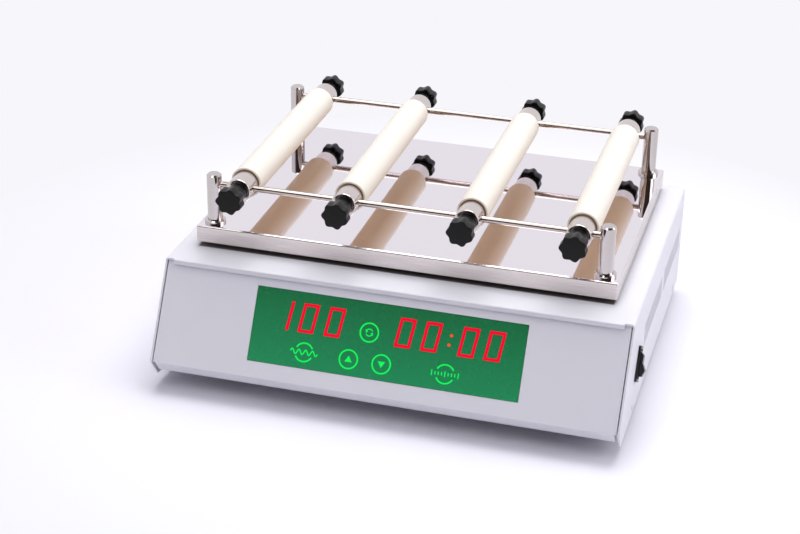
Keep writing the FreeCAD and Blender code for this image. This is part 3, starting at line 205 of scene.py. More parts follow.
def worked_metal(name, code, rough, spacing_mm, shade=0.86, depth_mm=0.01):
    """Bare metal whose last tool left lines: close together across them and long along them.

    The spacing is given for each axis in millimetres. The lines break the reflections into fine
    streaks, and a slow cloud makes some places duller, as handling does.
    """
    material, tree, coords = new_material(name)
    scale = tuple(per_mm(size) for size in spacing_mm)
    stretched = add(tree, "ShaderNodeMapping", {"Vector": coords, "Scale": scale}).outputs[0]
    lines = add(tree, "ShaderNodeTexNoise", {
        "Vector": stretched, "Scale": 1.0, "Detail": 4.0,
    }).outputs[0]
    cloud = add(tree, "ShaderNodeTexNoise", {
        "Vector": coords, "Scale": per_mm(35), "Detail": 2.0,
    }).outputs[0]
    tint = add(tree, "ShaderNodeMix", {
        0: lines, 6: colour(code, shade), 7: colour(code),
    }, data_type="RGBA").outputs[2]
    uneven = add(tree, "ShaderNodeMath", {0: lines, 1: cloud}, operation="ADD").outputs[0]
    spread = add(tree, "ShaderNodeMapRange", {
        "Value": uneven, "From Max": 2.0, "To Min": 0.5 * rough, "To Max": 1.5 * rough,
    }).outputs[0]
    finish_surface(tree, lines, depth_mm, {"Base Color": tint, "Roughness": spread, "Metallic": 1.0})
    return material


def sleeve_silicone():
    """Extruded silicone sponge tube: a matte ivory skin, whiter on top by painted light and tan below
    by painted shade, and a knife-cut end with open pores and a brown ring of painted shade at the bore.

    The pores are drawn 0.9 mm across, coarser than the real foam's, so that they show.
    """
    material, tree, coords = new_material("extruded_silicone_sponge")
    height = add(tree, "ShaderNodeSeparateXYZ", {0: coords}).outputs["Z"]
    from_axis = add(tree, "ShaderNodeAttribute", attribute_name="from_axis").outputs["Fac"]
    from_end = add(tree, "ShaderNodeAttribute", attribute_name="from_end").outputs["Fac"]
    # Painted light and shade: the skin is whiter above the bar's axis and tan below it.
    painted_shade_height = rail_z - 0.9 * sleeve_radius
    painted_light_height = rail_z + 0.4 * sleeve_radius
    painted_light_share = add(tree, "ShaderNodeMapRange", {
        "Value": height, "From Min": painted_shade_height, "From Max": painted_light_height,
    }).outputs[0]
    cut = add(tree, "ShaderNodeMapRange", {
        "Value": from_end, "From Min": 0.3 * MM, "From Max": 0.05 * MM,
    }).outputs[0]
    # Painted shade: a brown ring on the cut end, next to the bore, for the shadowed gap at the bar.
    near_bore = add(tree, "ShaderNodeMapRange", {
        "Value": from_axis, "From Min": bar_radius + 1.0 * MM, "From Max": bar_radius + 0.6 * MM,
    }).outputs[0]
    bore_shade = add(tree, "ShaderNodeMath", {0: near_bore, 1: cut}, operation="MULTIPLY").outputs[0]
    pores = add(tree, "ShaderNodeTexNoise", {
        "Vector": coords, "Scale": per_mm(0.9), "Detail": 3.0,
    }).outputs[0]
    skin = add(tree, "ShaderNodeMix", {
        0: painted_light_share, 6: colour("#d8bc98"), 7: colour("#eae4da"),
    }, data_type="RGBA").outputs[2]
    faced = add(tree, "ShaderNodeMix", {
        0: cut, 6: skin, 7: colour("#f4e9da"),
    }, data_type="RGBA").outputs[2]
    tint = add(tree, "ShaderNodeMix", {
        0: bore_shade, 6: faced, 7: colour("#8d6b47"),
    }, data_type="RGBA").outputs[2]
    rough = add(tree, "ShaderNodeMapRange", {"Value": pores, "To Min": 0.55, "To Max": 0.75}).outputs[0]
    finish_surface(tree, pores, 0.05, {
        "Base Color": tint, "Roughness": rough, "IOR": 1.41,
        "Subsurface Weight": 0.1, "Subsurface Radius": (4 * MM, 3 * MM, 2 * MM), "Subsurface Scale": 1.0,
    })
    return material


def moulded(name, code, rough, grain_mm, depth_mm, ior, specular=0.5):
    """Moulded plastic or rubber: one even colour with the fine spark-eroded grain of its tool."""
    material, tree, coords = new_material(name)
    grain = add(tree, "ShaderNodeTexNoise", {
        "Vector": coords, "Scale": per_mm(grain_mm), "Detail": 3.0,
    }).outputs[0]
    tint = add(tree, "ShaderNodeMix", {
        0: grain, 6: colour(code, 0.85), 7: colour(code, 1.1),
    }, data_type="RGBA").outputs[2]
    spread = add(tree, "ShaderNodeMapRange", {
        "Value": grain, "To Min": rough - 0.06, "To Max": rough + 0.08,
    }).outputs[0]
    finish_surface(tree, grain, depth_mm, {
        "Base Color": tint, "Roughness": spread, "IOR": ior, "Specular IOR Level": specular,
    })
    return material


def display_filter():
    """Tinted polyester film on acrylic: deep clear green, a little uneven in its satin shine, which
    the visor's shade and the dark board behind make darker towards the top."""
    material, tree, coords = new_material("tinted_polyester_display_filter")
    low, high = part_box("display_window")
    height = add(tree, "ShaderNodeSeparateXYZ", {0: coords}).outputs["Z"]
    shade = add(tree, "ShaderNodeMapRange", {
        "Value": height, "From Min": low.z, "From Max": high.z,
    }).outputs[0]
    satin = add(tree, "ShaderNodeTexNoise", {
        "Vector": coords, "Scale": per_mm(8), "Detail": 1.0,
    }).outputs[0]
    tint = add(tree, "ShaderNodeMix", {
        0: shade, 6: colour("#21955c"), 7: colour("#157543"),
    }, data_type="RGBA").outputs[2]
    rough = add(tree, "ShaderNodeMapRange", {"Value": satin, "To Min": 0.25, "To Max": 0.29}).outputs[0]
    finish_surface(tree, satin, 0.001, {"Base Color": tint, "Roughness": rough, "IOR": 1.5})
    return material


def glowing(name, code):
    """Light-emitting diodes under a diffusing film: an even glow, a little deeper in slow patches."""
    material, tree, coords = new_material(name)
    patches = add(tree, "ShaderNodeTexNoise", {
        "Vector": coords, "Scale": per_mm(5), "Detail": 1.0,
    }).outputs[0]
    tint = add(tree, "ShaderNodeMix", {
        0: patches, 6: colour(code), 7: colour(code, 0.88),
    }, data_type="RGBA").outputs[2]
    finish_surface(tree, patches, 0.004, {
        "Base Color": colour("#050505"), "Roughness": 0.4, "IOR": 1.5, "Specular IOR Level": 0.1,
        "Emission Color": tint, "Emission Strength": 1.0,
    })
    return material


def circuit_board():
    """Glass-epoxy board under green solder mask: glossy dark green with lighter copper tracks
    showing through, drawn 3 mm apart so that they can be seen."""
    material, tree, coords = new_material("solder_masked_glass_epoxy")
    tracks = add(tree, "ShaderNodeTexBrick", {
        "Vector": coords, "Scale": per_mm(12), "Color1": colour("#0f4a2a"), "Color2": colour("#14592f"),
        "Mortar": colour("#2c7a45"), "Mortar Size": 0.03,
    })
    finish_surface(tree, tracks.outputs[1], 0.03, {
        "Base Color": tracks.outputs[0], "Roughness": 0.35, "IOR": 1.55,
    })
    return material


finishes = {
    powder_coat(): ("top_cover", "front_panel", "rear_panel", "bottom_tray"),
    platform_steel(): ("platform",),
    worked_metal("polished_stainless_turning", "#d2cbca", 0.10, (30, 30, 0.8)): (
        "corner_posts", "post_collars", "platform_pillars",
    ),
    worked_metal("drawn_stainless_rod", "#c2b7b1", 0.08, (30, 0.6, 0.6)): ("guide_rails",),
    worked_metal("turned_stainless_tube", "#dcd2ce", 0.16, (30, 0.6, 30)): (
        "clamp_bar_1", "clamp_bar_2", "clamp_bar_3", "clamp_bar_4",
    ),
    worked_metal("ground_bearing_steel", "#b9b9bd", 0.20, (20, 20, 0.6)): (
        "crank_shaft", "crank_pin", "wrist_pin", "guide_rods", "motor_shaft", "crank_bearings",
        "link_bearings", "linear_bushings",
    ),
    worked_metal("milled_aluminium", "#d5d6d8", 0.32, (1.2, 30, 30), 0.8, 0.02): (
        "bearing_housing", "crank_pulley", "motor_pulley", "connecting_rod", "carriage",
        "bushing_blocks", "rod_supports",
    ),
    worked_metal("zinc_plated_steel", "#c3c8cc", 0.38, (6, 6, 6), 0.75, 0.02): (
        "foot_screws", "board_standoffs", "drive_plate", "drive_standoffs", "platform_screws",
        "power_supply",
    ),
    display_filter(): ("display_window",),
    circuit_board(): ("display_board", "control_board"),
    moulded("moulded_black_rubber", "#161616", 0.6, 0.8, 0.04, 1.52): ("rubber_feet",),
    moulded("ribbed_neoprene_belt", "#1b1b1c", 0.65, 0.6, 0.04, 1.52): ("drive_belt",),
    moulded("moulded_black_polycarbonate", "#131314", 0.32, 0.7, 0.02, 1.58): (
        "switch_frame", "switch_rocker", "power_inlet", "fuse_drawer",
    ),
    moulded("red_epoxy_display_module", "#3a0a0c", 0.3, 1.0, 0.02, 1.5): ("digit_displays",),
    moulded("frosted_acrylic_light_guide", "#9fd6ae", 0.4, 1.0, 0.02, 1.49): ("touch_rings",),
    moulded("stoved_black_motor_paint", "#1d1d1f", 0.4, 1.2, 0.03, 1.5): ("motor",),
}
for finish, nodes in finishes.items():
    for node in nodes:
        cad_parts[node].data.materials.clear()
        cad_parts[node].data.materials.append(finish)


# Geometry Nodes

def new_tree(name, sizes):
    """A tree with a named input for each size."""
    tree = bpy.data.node_groups.new(name, "GeometryNodeTree")
    tree.interface.new_socket("Geometry", in_out="OUTPUT", socket_type="NodeSocketGeometry")
    tree.interface.new_socket("Geometry", in_out="INPUT", socket_type="NodeSocketGeometry")
    for label, value in sizes.items():
        socket = tree.interface.new_socket(label, in_out="INPUT", socket_type="NodeSocketFloat")
        socket.default_value = value
    return tree, add(tree, "NodeGroupInput").outputs


def end_tree(tree, geometry, material):
    """Close a tree with Realize Instances and Set Material."""
    real = add(tree, "GeometryNodeRealizeInstances", {0: geometry}).outputs[0]
    dressed = add(tree, "GeometryNodeSetMaterial", {"Geometry": real, "Material": material}).outputs[0]
    add(tree, "NodeGroupOutput", {0: dressed})


def grown_mesh(name, tree, sizes, places=(), **numbers):
    """Run a tree on a mesh of points, which carry named numbers, and return a plain mesh."""
    base = bpy.data.meshes.new(name + "_points")
    base.from_pydata(list(places), [], [])
    for label, values in numbers.items():
        base.attributes.new(label, "FLOAT", "POINT").data.foreach_set("value", values)
    holder = bpy.data.objects.new(name + "_holder", base)
    bpy.context.scene.collection.objects.link(holder)
    modifier = holder.modifiers.new("grow", "NODES")
    modifier.node_group = tree
    for item in tree.interface.items_tree:
        if item.in_out == "INPUT" and item.name in sizes:
            modifier[item.identifier] = sizes[item.name]
    holder.update_tag()
    mesh = bpy.data.meshes.new_from_object(holder.evaluated_get(bpy.context.evaluated_depsgraph_get()))
    holder.modifiers.remove(modifier)
    bpy.data.objects.remove(holder)
    mesh.name = name
    return mesh


def place_piece(name, mesh, body, slot, *replaced):
    """Make a finished mesh a piece of its body, which may stand for CAD nodes."""
    piece = bpy.data.objects.new(name, mesh)
    bpy.context.scene.collection.objects.link(piece)
    if replaced:
        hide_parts(*replaced)
    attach(piece, body)


def smooth_faces(mesh, limit, rounding=0.0):
    """Shade a mesh smooth but for the edges sharper than an angle, which may be rounded first."""
    sharp_angle = math.radians(limit)
    shape = bmesh.new()
    shape.from_mesh(mesh)
    if rounding:
        sharp = [edge for edge in shape.edges if edge.calc_face_angle(0) > sharp_angle]
        bmesh.ops.bevel(
            shape, geom=sharp, offset=rounding, segments=4, profile=0.5, affect="EDGES", clamp_overlap=True,
        )
    for face in shape.faces:
        face.smooth = True
    for edge in shape.edges:
        edge.smooth = edge.calc_face_angle(0) < sharp_angle
    shape.to_mesh(mesh)
    shape.free()


# Star knobs

knob_gap = 0.3 * MM
knob_sizes = {
    "Lobes": 7.0, "Head Radius": 10.8 * MM, "Valley Radius": 9.2 * MM, "Head Length": 10.0 * MM,
    "Hub Radius": 7.2 * MM, "Hub Length": 11.5 * MM, "Stud Radius": 3.0 * MM, "Stud Length": 7.0 * MM,
}
knob_turn = math.radians(27)
knob_edge = 0.9 * MM


def star_knob_tree(material):
    """A lobed head, a round hub and a stud, each drawn out along the axis from its outline."""
    tree, given = new_tree("star_knob", knob_sizes)
    place = add(tree, "GeometryNodeInputPosition").outputs[0]
    flat = add(tree, "ShaderNodeSeparateXYZ", {0: place}).outputs
    angle = add(tree, "ShaderNodeMath", {0: flat["Y"], 1: flat["X"]}, operation="ARCTAN2").outputs[0]
    phase = add(tree, "ShaderNodeMath", {0: angle, 1: given["Lobes"]}, operation="MULTIPLY").outputs[0]
    wave = add(tree, "ShaderNodeMath", {0: phase}, operation="COSINE").outputs[0]
    reach = add(tree, "ShaderNodeMapRange", {
        "Value": wave, "From Min": -1.0, "To Min": given["Valley Radius"], "To Max": given["Head Radius"],
    }).outputs[0]
    unit = add(tree, "GeometryNodeCurvePrimitiveCircle", {"Resolution": 112, "Radius": 1.0}).outputs[0]
    lobed = add(tree, "ShaderNodeVectorMath", {0: place, "Scale": reach}, operation="SCALE").outputs[0]
    star = add(tree, "GeometryNodeSetPosition", {"Geometry": unit, "Position": lobed}).outputs[0]
    hub = add(tree, "GeometryNodeCurvePrimitiveCircle", {
        "Resolution": 64, "Radius": given["Hub Radius"],
    }).outputs[0]
    stud = add(tree, "GeometryNodeCurvePrimitiveCircle", {
        "Resolution": 32, "Radius": given["Stud Radius"],
    }).outputs[0]
    stud_end = add(tree, "ShaderNodeMath", {
        0: 0.0, 1: given["Stud Length"],
    }, operation="SUBTRACT").outputs[0]
    hub_end = given["Hub Length"]
    head_end = add(tree, "ShaderNodeMath", {
        0: hub_end, 1: given["Head Length"],
    }, operation="ADD").outputs[0]
    joined = add(tree, "GeometryNodeJoinGeometry")
    for outline, start, end in ((star, hub_end, head_end), (hub, 0.0, hub_end), (stud, stud_end, 0.0)):
        ends = [add(tree, "ShaderNodeCombineXYZ", {"Z": height}).outputs[0] for height in (start, end)]
        line = add(tree, "GeometryNodeCurvePrimitiveLine", {"Start": ends[0], "End": ends[1]}).outputs[0]
        solid = add(tree, "GeometryNodeCurveToMesh", {
            "Curve": line, "Profile Curve": outline, "Fill Caps": True,
        }).outputs[0]
        tree.links.new(solid, joined.inputs[0])
    end_tree(tree, joined.outputs[0], material)
    return tree


def make_knobs():
    """Compression-moulded phenolic star knobs: deep black, whose oily skin has little shine, with
    softly rounded lobes."""
    black = moulded("compression_moulded_black_phenolic", "#0b0a0a", 0.34, 1.5, 0.01, 1.5, 0.22)
    stud_steel = worked_metal("rolled_thread_steel", "#b9b9bd", 0.25, (30, 1.0, 30))
    tree = star_knob_tree(black)
    for number in bars:
        low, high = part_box("clamp_bar_" + str(number))
        x = (low.x + high.x) / 2
        for word, side, end in (("front", -1, low.y), ("rear", 1, high.y)):
            mesh = grown_mesh("star_knob", tree, knob_sizes)
            mesh.materials.clear()
            mesh.materials.append(black)
            mesh.materials.append(stud_steel)
            for face in mesh.polygons:
                face.material_index = 1 if face.center.z < 0 else 0
            smooth_faces(mesh, 40, knob_edge)
            lobes = Matrix.Rotation(-side * knob_turn, 4, "Z")
            outward = Matrix.Rotation(math.radians(-90 * side), 4, "X")
            mesh.transform(Matrix.Translation((x, end + side * knob_gap, rail_z)) @ outward @ lobes)
            node = word + "_knob_" + str(number)
            place_piece("star_" + node, mesh, node, "black_knob", node)


# Sleeves

sleeve_sizes = {
    "Length": sleeve_length, "Outer Radius": sleeve_radius, "Bore Radius": bar_radius + 0.1 * MM,
    "Rim": 0.6 * MM,
}


def sleeve_tree(material):
    """A rounded strip swept round the axis, which keeps its distances from the axis and the ends."""
    tree, given = new_tree("silicone_sleeve", sleeve_sizes)
    radii = {0: given["Outer Radius"], 1: given["Bore Radius"]}
    wall = add(tree, "ShaderNodeMath", radii, operation="SUBTRACT").outputs[0]
    both = add(tree, "ShaderNodeMath", radii, operation="ADD").outputs[0]
    mean = add(tree, "ShaderNodeMath", {0: both, 1: 0.5}, operation="MULTIPLY").outputs[0]
    ring = add(tree, "GeometryNodeCurvePrimitiveCircle", {"Resolution": 96, "Radius": mean}).outputs[0]
    strip = add(tree, "GeometryNodeCurvePrimitiveQuadrilateral", {
        "Width": wall, "Height": given["Length"],
    }).outputs[0]
    rounded = add(tree, "GeometryNodeFilletCurve", {
        "Curve": strip, "Count": 4, "Radius": given["Rim"],
    }, mode="POLY").outputs[0]
    tube = add(tree, "GeometryNodeCurveToMesh", {"Curve": ring, "Profile Curve": rounded}).outputs[0]
    place = add(tree, "GeometryNodeInputPosition").outputs[0]
    across = add(tree, "ShaderNodeVectorMath", {0: place, 1: (1, 1, 0)}, operation="MULTIPLY").outputs[0]
    from_axis = add(tree, "ShaderNodeVectorMath", {0: across}, operation="LENGTH").outputs["Value"]
    height = add(tree, "ShaderNodeSeparateXYZ", {0: place}).outputs["Z"]
    above = add(tree, "ShaderNodeMath", {0: height}, operation="ABSOLUTE").outputs[0]
    half = add(tree, "ShaderNodeMath", {0: given["Length"], 1: 0.5}, operation="MULTIPLY").outputs[0]
    from_end = add(tree, "ShaderNodeMath", {0: half, 1: above}, operation="SUBTRACT").outputs[0]
    for label, distance in (("from_axis", from_axis), ("from_end", from_end)):
        tube = add(tree, "GeometryNodeStoreNamedAttribute", {
            "Geometry": tube, "Name": label, "Value": distance,
        }).outputs[0]
    end_tree(tree, tube, material)
    return tree


def make_sleeves():
    tree = sleeve_tree(sleeve_silicone())
    for number in bars:
        node = "sleeve_" + str(number)
        mesh = grown_mesh("silicone_" + node, tree, sleeve_sizes)
        smooth_faces(mesh, 60)
        mesh.transform(Matrix.Translation(middle(node)) @ Matrix.Rotation(math.radians(90), 4, "X"))
        place_piece("silicone_" + node, mesh, "bar_" + str(number), "ivory_silicone", node)


# Case screws

screw_sizes = {
    "Head Radius": 2.9 * MM, "Shank Radius": 1.5 * MM, "Head Depth": 1.4 * MM, "Length": 7.0 * MM,
    "Slot Width": 0.9 * MM, "Slot Length": 3.4 * MM, "Slot Depth": 1.0 * MM,
}


def cross_screw_tree(material):
    """A countersunk screw with a cross recess, cut from its head, on every point."""
    tree, given = new_tree("cross_recess_screw", screw_sizes)
    head = add(tree, "GeometryNodeMeshCone", {
        "Vertices": 24, "Radius Top": given["Shank Radius"], "Radius Bottom": given["Head Radius"],
        "Depth": given["Head Depth"],
    }).outputs[0]
    shank = add(tree, "GeometryNodeMeshCylinder", {
        "Vertices": 24, "Radius": given["Shank Radius"], "Depth": given["Length"],
    }).outputs[0]
    half = add(tree, "ShaderNodeMath", {0: given["Length"], 1: 0.5}, operation="MULTIPLY").outputs[0]
    raised = add(tree, "ShaderNodeCombineXYZ", {"Z": half}).outputs[0]
    lifted = add(tree, "GeometryNodeTransform", {"Geometry": shank, "Translation": raised}).outputs[0]
    body = add(tree, "GeometryNodeMeshBoolean", operation="UNION", solver="EXACT")
    tree.links.new(head, body.inputs["Mesh 2"])
    tree.links.new(lifted, body.inputs["Mesh 2"])
    depth = add(tree, "ShaderNodeMath", {0: given["Slot Depth"], 1: 2.0}, operation="MULTIPLY").outputs[0]
    cutter = add(tree, "GeometryNodeMeshBoolean", {
        "Mesh 1": body.outputs[0],
    }, operation="DIFFERENCE", solver="EXACT")
    for first, second in (("Slot Length", "Slot Width"), ("Slot Width", "Slot Length")):
        size = add(tree, "ShaderNodeCombineXYZ", {
            "X": given[first], "Y": given[second], "Z": depth,
        }).outputs[0]
        arm = add(tree, "GeometryNodeMeshCube", {"Size": size}).outputs[0]
        tree.links.new(arm, cutter.inputs["Mesh 2"])
    turn = add(tree, "GeometryNodeInputNamedAttribute", {"Name": "turn"}, data_type="FLOAT").outputs[0]
    tilt = add(tree, "ShaderNodeCombineXYZ", {"Y": turn}).outputs[0]
    screws = add(tree, "GeometryNodeInstanceOnPoints", {
        "Points": given["Geometry"], "Instance": cutter.outputs[0], "Rotation": tilt,
    }).outputs[0]
    end_tree(tree, screws, material)
    return tree


def make_case_screws():
    """Zinc-plated cross-recess screws that hold the cover to the bottom tray, two on each side."""
    bright = worked_metal("bright_zinc_screw", "#c9cdd0", 0.30, (5, 5, 5), 0.8)
    low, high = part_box("case_screws")
    radius = screw_sizes["Head Radius"]
    places = []
    turns = []
    for x, turn in ((low.x, math.pi / 2), (high.x, -math.pi / 2)):
        for y in (low.y + radius, high.y - radius):
            places.append((x, y, (low.z + high.z) / 2))
            turns.append(turn)
    mesh = grown_mesh("cross_recess_screws", cross_screw_tree(bright), screw_sizes, places, turn=turns)
    place_piece("cross_recess_screws", mesh, "case", "zinc_steel", "case_screws")


# Lit figures and key symbols, in millimetres across and up from the middle of the window

glow_height = 0.12
figure_rise = 9.6
figure_height = 23.0
figure_width = 12.8
figure_stroke = 2.4
speed_figures = ((-78.6, "1"), (-63.4, "0"), (-42.2, "0"))
timer_figures = ((14.3, "0"), (35.0, "0"), (64.2, "0"), (84.5, "0"))
colon_dots = ((50.3, 12.9), (49.3, 5.5))
colon_radius = 1.3
key_places = {
    "cycle": (-13.9, 5.9), "up": (-27.2, -16.8), "down": (-0.9, -16.8), "wave": (-63.2, -16.8),
    "ticks": (49.5, -16.8),
}
ring_radius = 7.2
ring_line = 1.2
whole_ring = ((0, 180), (180, 360))
open_ring = ((28, 152), (208, 332))
figure_sizes = {"Stroke": figure_stroke * MM, "Thickness": glow_height * MM, "Lean": 0.12}


def figure_tree(material):
    """A bar on each point, as long and as far turned as the point says, then all leant together."""
    tree, given = new_tree("lit_figures", figure_sizes)
    size = add(tree, "ShaderNodeCombineXYZ", {
        "X": 1.0, "Y": given["Stroke"], "Z": given["Thickness"],
    }).outputs[0]
    block = add(tree, "GeometryNodeMeshCube", {"Size": size}).outputs[0]
    turn = add(tree, "GeometryNodeInputNamedAttribute", {"Name": "turn"}, data_type="FLOAT").outputs[0]
    length = add(tree, "GeometryNodeInputNamedAttribute", {"Name": "length"}, data_type="FLOAT").outputs[0]
    angle = add(tree, "ShaderNodeCombineXYZ", {"Z": turn}).outputs[0]
    stretch = add(tree, "ShaderNodeCombineXYZ", {"X": length, "Y": 1.0, "Z": 1.0}).outputs[0]
    strokes = add(tree, "GeometryNodeInstanceOnPoints", {
        "Points": given["Geometry"], "Instance": block, "Rotation": angle, "Scale": stretch,
    }).outputs[0]
    real = add(tree, "GeometryNodeRealizeInstances", {0: strokes}).outputs[0]
    place = add(tree, "GeometryNodeInputPosition").outputs[0]
    height = add(tree, "ShaderNodeSeparateXYZ", {0: place}).outputs["Y"]
    aside = add(tree, "ShaderNodeMath", {0: height, 1: given["Lean"]}, operation="MULTIPLY").outputs[0]
    lean = add(tree, "ShaderNodeCombineXYZ", {"X": aside}).outputs[0]
    leant = add(tree, "GeometryNodeSetPosition", {"Geometry": real, "Offset": lean}).outputs[0]
    end_tree(tree, leant, material)
    return tree


def make_figures():
    """The lit strokes of the figures for speed and time, run together as their glow does."""
    half_width = (figure_width - figure_stroke) / 2
    half_height = (figure_height - figure_stroke) / 2
    between = figure_height - 2 * figure_stroke
    strokes = {
        "0": (
            (0, half_height, figure_width, 0), (0, -half_height, figure_width, 0),
            (-half_width, 0, between, 1), (half_width, 0, between, 1),
        ),
        "1": ((0, 0, figure_height, 1),),
    }
    places = []
    lengths = []
    turns = []
    for across, numeral in speed_figures + timer_figures:
        for x, y, length, upright in strokes[numeral]:
            places.append(((across + x) * MM, y * MM, 0.0))
            lengths.append(length * MM)
            turns.append(upright * math.pi / 2)
    tree = figure_tree(glowing("red_led_figures", "#ff0230"))
    mesh = grown_mesh("lit_figures", tree, figure_sizes, places, length=lengths, turn=turns)
    mesh.transform(window_place @ Matrix.Translation((0, figure_rise * MM, glow_height / 2 * MM)))
    place_piece("lit_figures", mesh, "case", "red_display")


def raise_shape(shape, outline):
    """Raise a flat (x, y) outline to the height of the glow, in a bmesh."""
    lower = [shape.verts.new((x * MM, y * MM, 0)) for x, y in outline]
    upper = [shape.verts.new((x * MM, y * MM, glow_height * MM)) for x, y in outline]
    shape.faces.new(list(reversed(lower)))
    shape.faces.new(upper)
    for index in range(len(outline)):
        after = (index + 1) % len(outline)
        shape.faces.new((lower[index], lower[after], upper[after], upper[index]))


def stroke(points, width):
    """The outline of a line of even width through some points."""
    left = []
    right = []
    for index, point in enumerate(points):
        before = Vector(points[max(index - 1, 0)])
        after = Vector(points[min(index + 1, len(points) - 1)])
        along = (after - before).normalized()
        across = Vector((-along.y, along.x)) * (width / 2)
        left.append((point[0] + across.x, point[1] + across.y))
        right.append((point[0] - across.x, point[1] - across.y))
    return right + left[::-1]


def arc(x, y, radius, start, end, steps=28):
    """Points on an arc, from one angle to another in degrees."""
    points = []
    for step in range(steps + 1):
        angle = math.radians(start + (end - start) * step / steps)
        points.append((x + radius * math.cos(angle), y + radius * math.sin(angle)))
    return points


def cycle_arrows(x, y):
    """Two half turns that chase each other."""
    radius = 2.7
    line = 0.9
    barb = 1.3
    sweep = 115
    head_sweep = 50
    shapes = []
    for start in (30, 210):
        shapes.append(stroke(arc(x, y, radius, start, start + sweep, 12), line))
        base = math.radians(start + sweep)
        tip = math.radians(start + sweep + head_sweep)
        shapes.append([
            (x + (radius + barb) * math.cos(base), y + (radius + barb) * math.sin(base)),
            (x + radius * math.cos(tip), y + radius * math.sin(tip)),
            (x + (radius - barb) * math.cos(base), y + (radius - barb) * math.sin(base)),
        ])
    return shapes


def arrow_head(x, y, way):
    """A triangle that points up the window where the way is 1, and down it where it is -1."""
    half_width = 3.0 * way
    foot = y - 2.1 * way
    tip = y + 2.9 * way
    return [[(x - half_width, foot), (x + half_width, foot), (x, tip)]]


def wave_line(x, y):
    """A sine of four periods, the sign for the speed of the strokes."""
    length = 22.0
    period = length / 4
    rise = 1.9
    line = 1.0
    steps = 60
    points = []
    for step in range(steps + 1):
        place = length * step / steps - length / 2
        points.append((x + place, y + rise * math.sin(place * 2 * math.pi / period)))
    return [stroke(points, line)]


def time_ticks(x, y):
    """A row of nine ticks, every fourth one longer, the sign for the time."""
    pitch = 2.6
    line = 0.9
    ticks = []
    for step in range(9):
        place = x + pitch * (step - 4)
        reach = 2.2 if step % 4 == 0 else 1.3
        ticks.append(stroke([(place, y - reach), (place, y + reach)], line))
    return ticks


def shape_piece(name, outlines, material, slot):
    """One piece of raised flat shapes, on the window's face."""
    shape = bmesh.new()
    for outline in outlines:
        raise_shape(shape, outline)
    bmesh.ops.recalc_face_normals(shape, faces=shape.faces)
    mesh = bpy.data.meshes.new(name)
    shape.to_mesh(mesh)
    shape.free()
    mesh.materials.append(material)
    mesh.transform(window_place)
    place_piece(name, mesh, "case", slot)


def make_key_symbols():
    """The glowing rings and signs of the five touch keys, and the timer's colon."""
    signs = {
        "cycle": cycle_arrows(*key_places["cycle"]),
        "up": arrow_head(*key_places["up"], 1),
        "down": arrow_head(*key_places["down"], -1),
        "wave": wave_line(*key_places["wave"]),
        "ticks": time_ticks(*key_places["ticks"]),
    }
    outlines = []
    for key, (x, y) in key_places.items():
        spans = open_ring if key in ("wave", "ticks") else whole_ring
        for start, end in spans:
            outlines.append(stroke(arc(x, y, ring_radius, start, end), ring_line))
        outlines.extend(signs[key])
    shape_piece("key_symbols", outlines, glowing("green_led_keys", "#14ff60"), "light_guide")
    dots = [arc(x, y, colon_radius, 0, 345, steps=23) for x, y in colon_dots]
    shape_piece("timer_colon", dots, glowing("orange_led_colon", "#ff5a1a"), "red_display")


make_knobs()
make_sleeves()
make_case_screws()
make_figures()
make_key_symbols()


# Camera, floor and light

camera_azimuth = -0.2712
camera_elevation = 0.4617
camera_roll = 0.0176
camera_offset = Vector((0.3410, -1.3428, 0.6230))
camera_lens = 82.45


def make_camera():
    """The photograph's viewpoint, worked out from the edges of the platform and case."""
    level = Vector((math.cos(camera_azimuth), -math.sin(camera_azimuth), 0))
    ahead = Vector((
        math.sin(camera_azimuth) * math.cos(camera_elevation),
        math.cos(camera_azimuth) * math.cos(camera_elevation),
        -math.sin(camera_elevation),
    ))
    above = level.cross(ahead)
    right = level * math.cos(camera_roll) + above * math.sin(camera_roll)
    top = above * math.cos(camera_roll) - level * math.sin(camera_roll)
    data = bpy.data.cameras.new("camera")
    data.lens = camera_lens
    data.sensor_width = 36
    data.clip_start = 0.05
    camera = bpy.data.objects.new("camera", data)
    axes = Matrix((right, top, -ahead)).transposed().to_4x4()
    camera.matrix_world = Matrix.Translation(plate_top + camera_offset) @ axes
    bpy.context.scene.collection.objects.link(camera)
    bpy.context.scene.camera = camera


background = "#f7f6fb"
paper_near = 0.27
paper_far = 0.5
floor_reach = 8.0


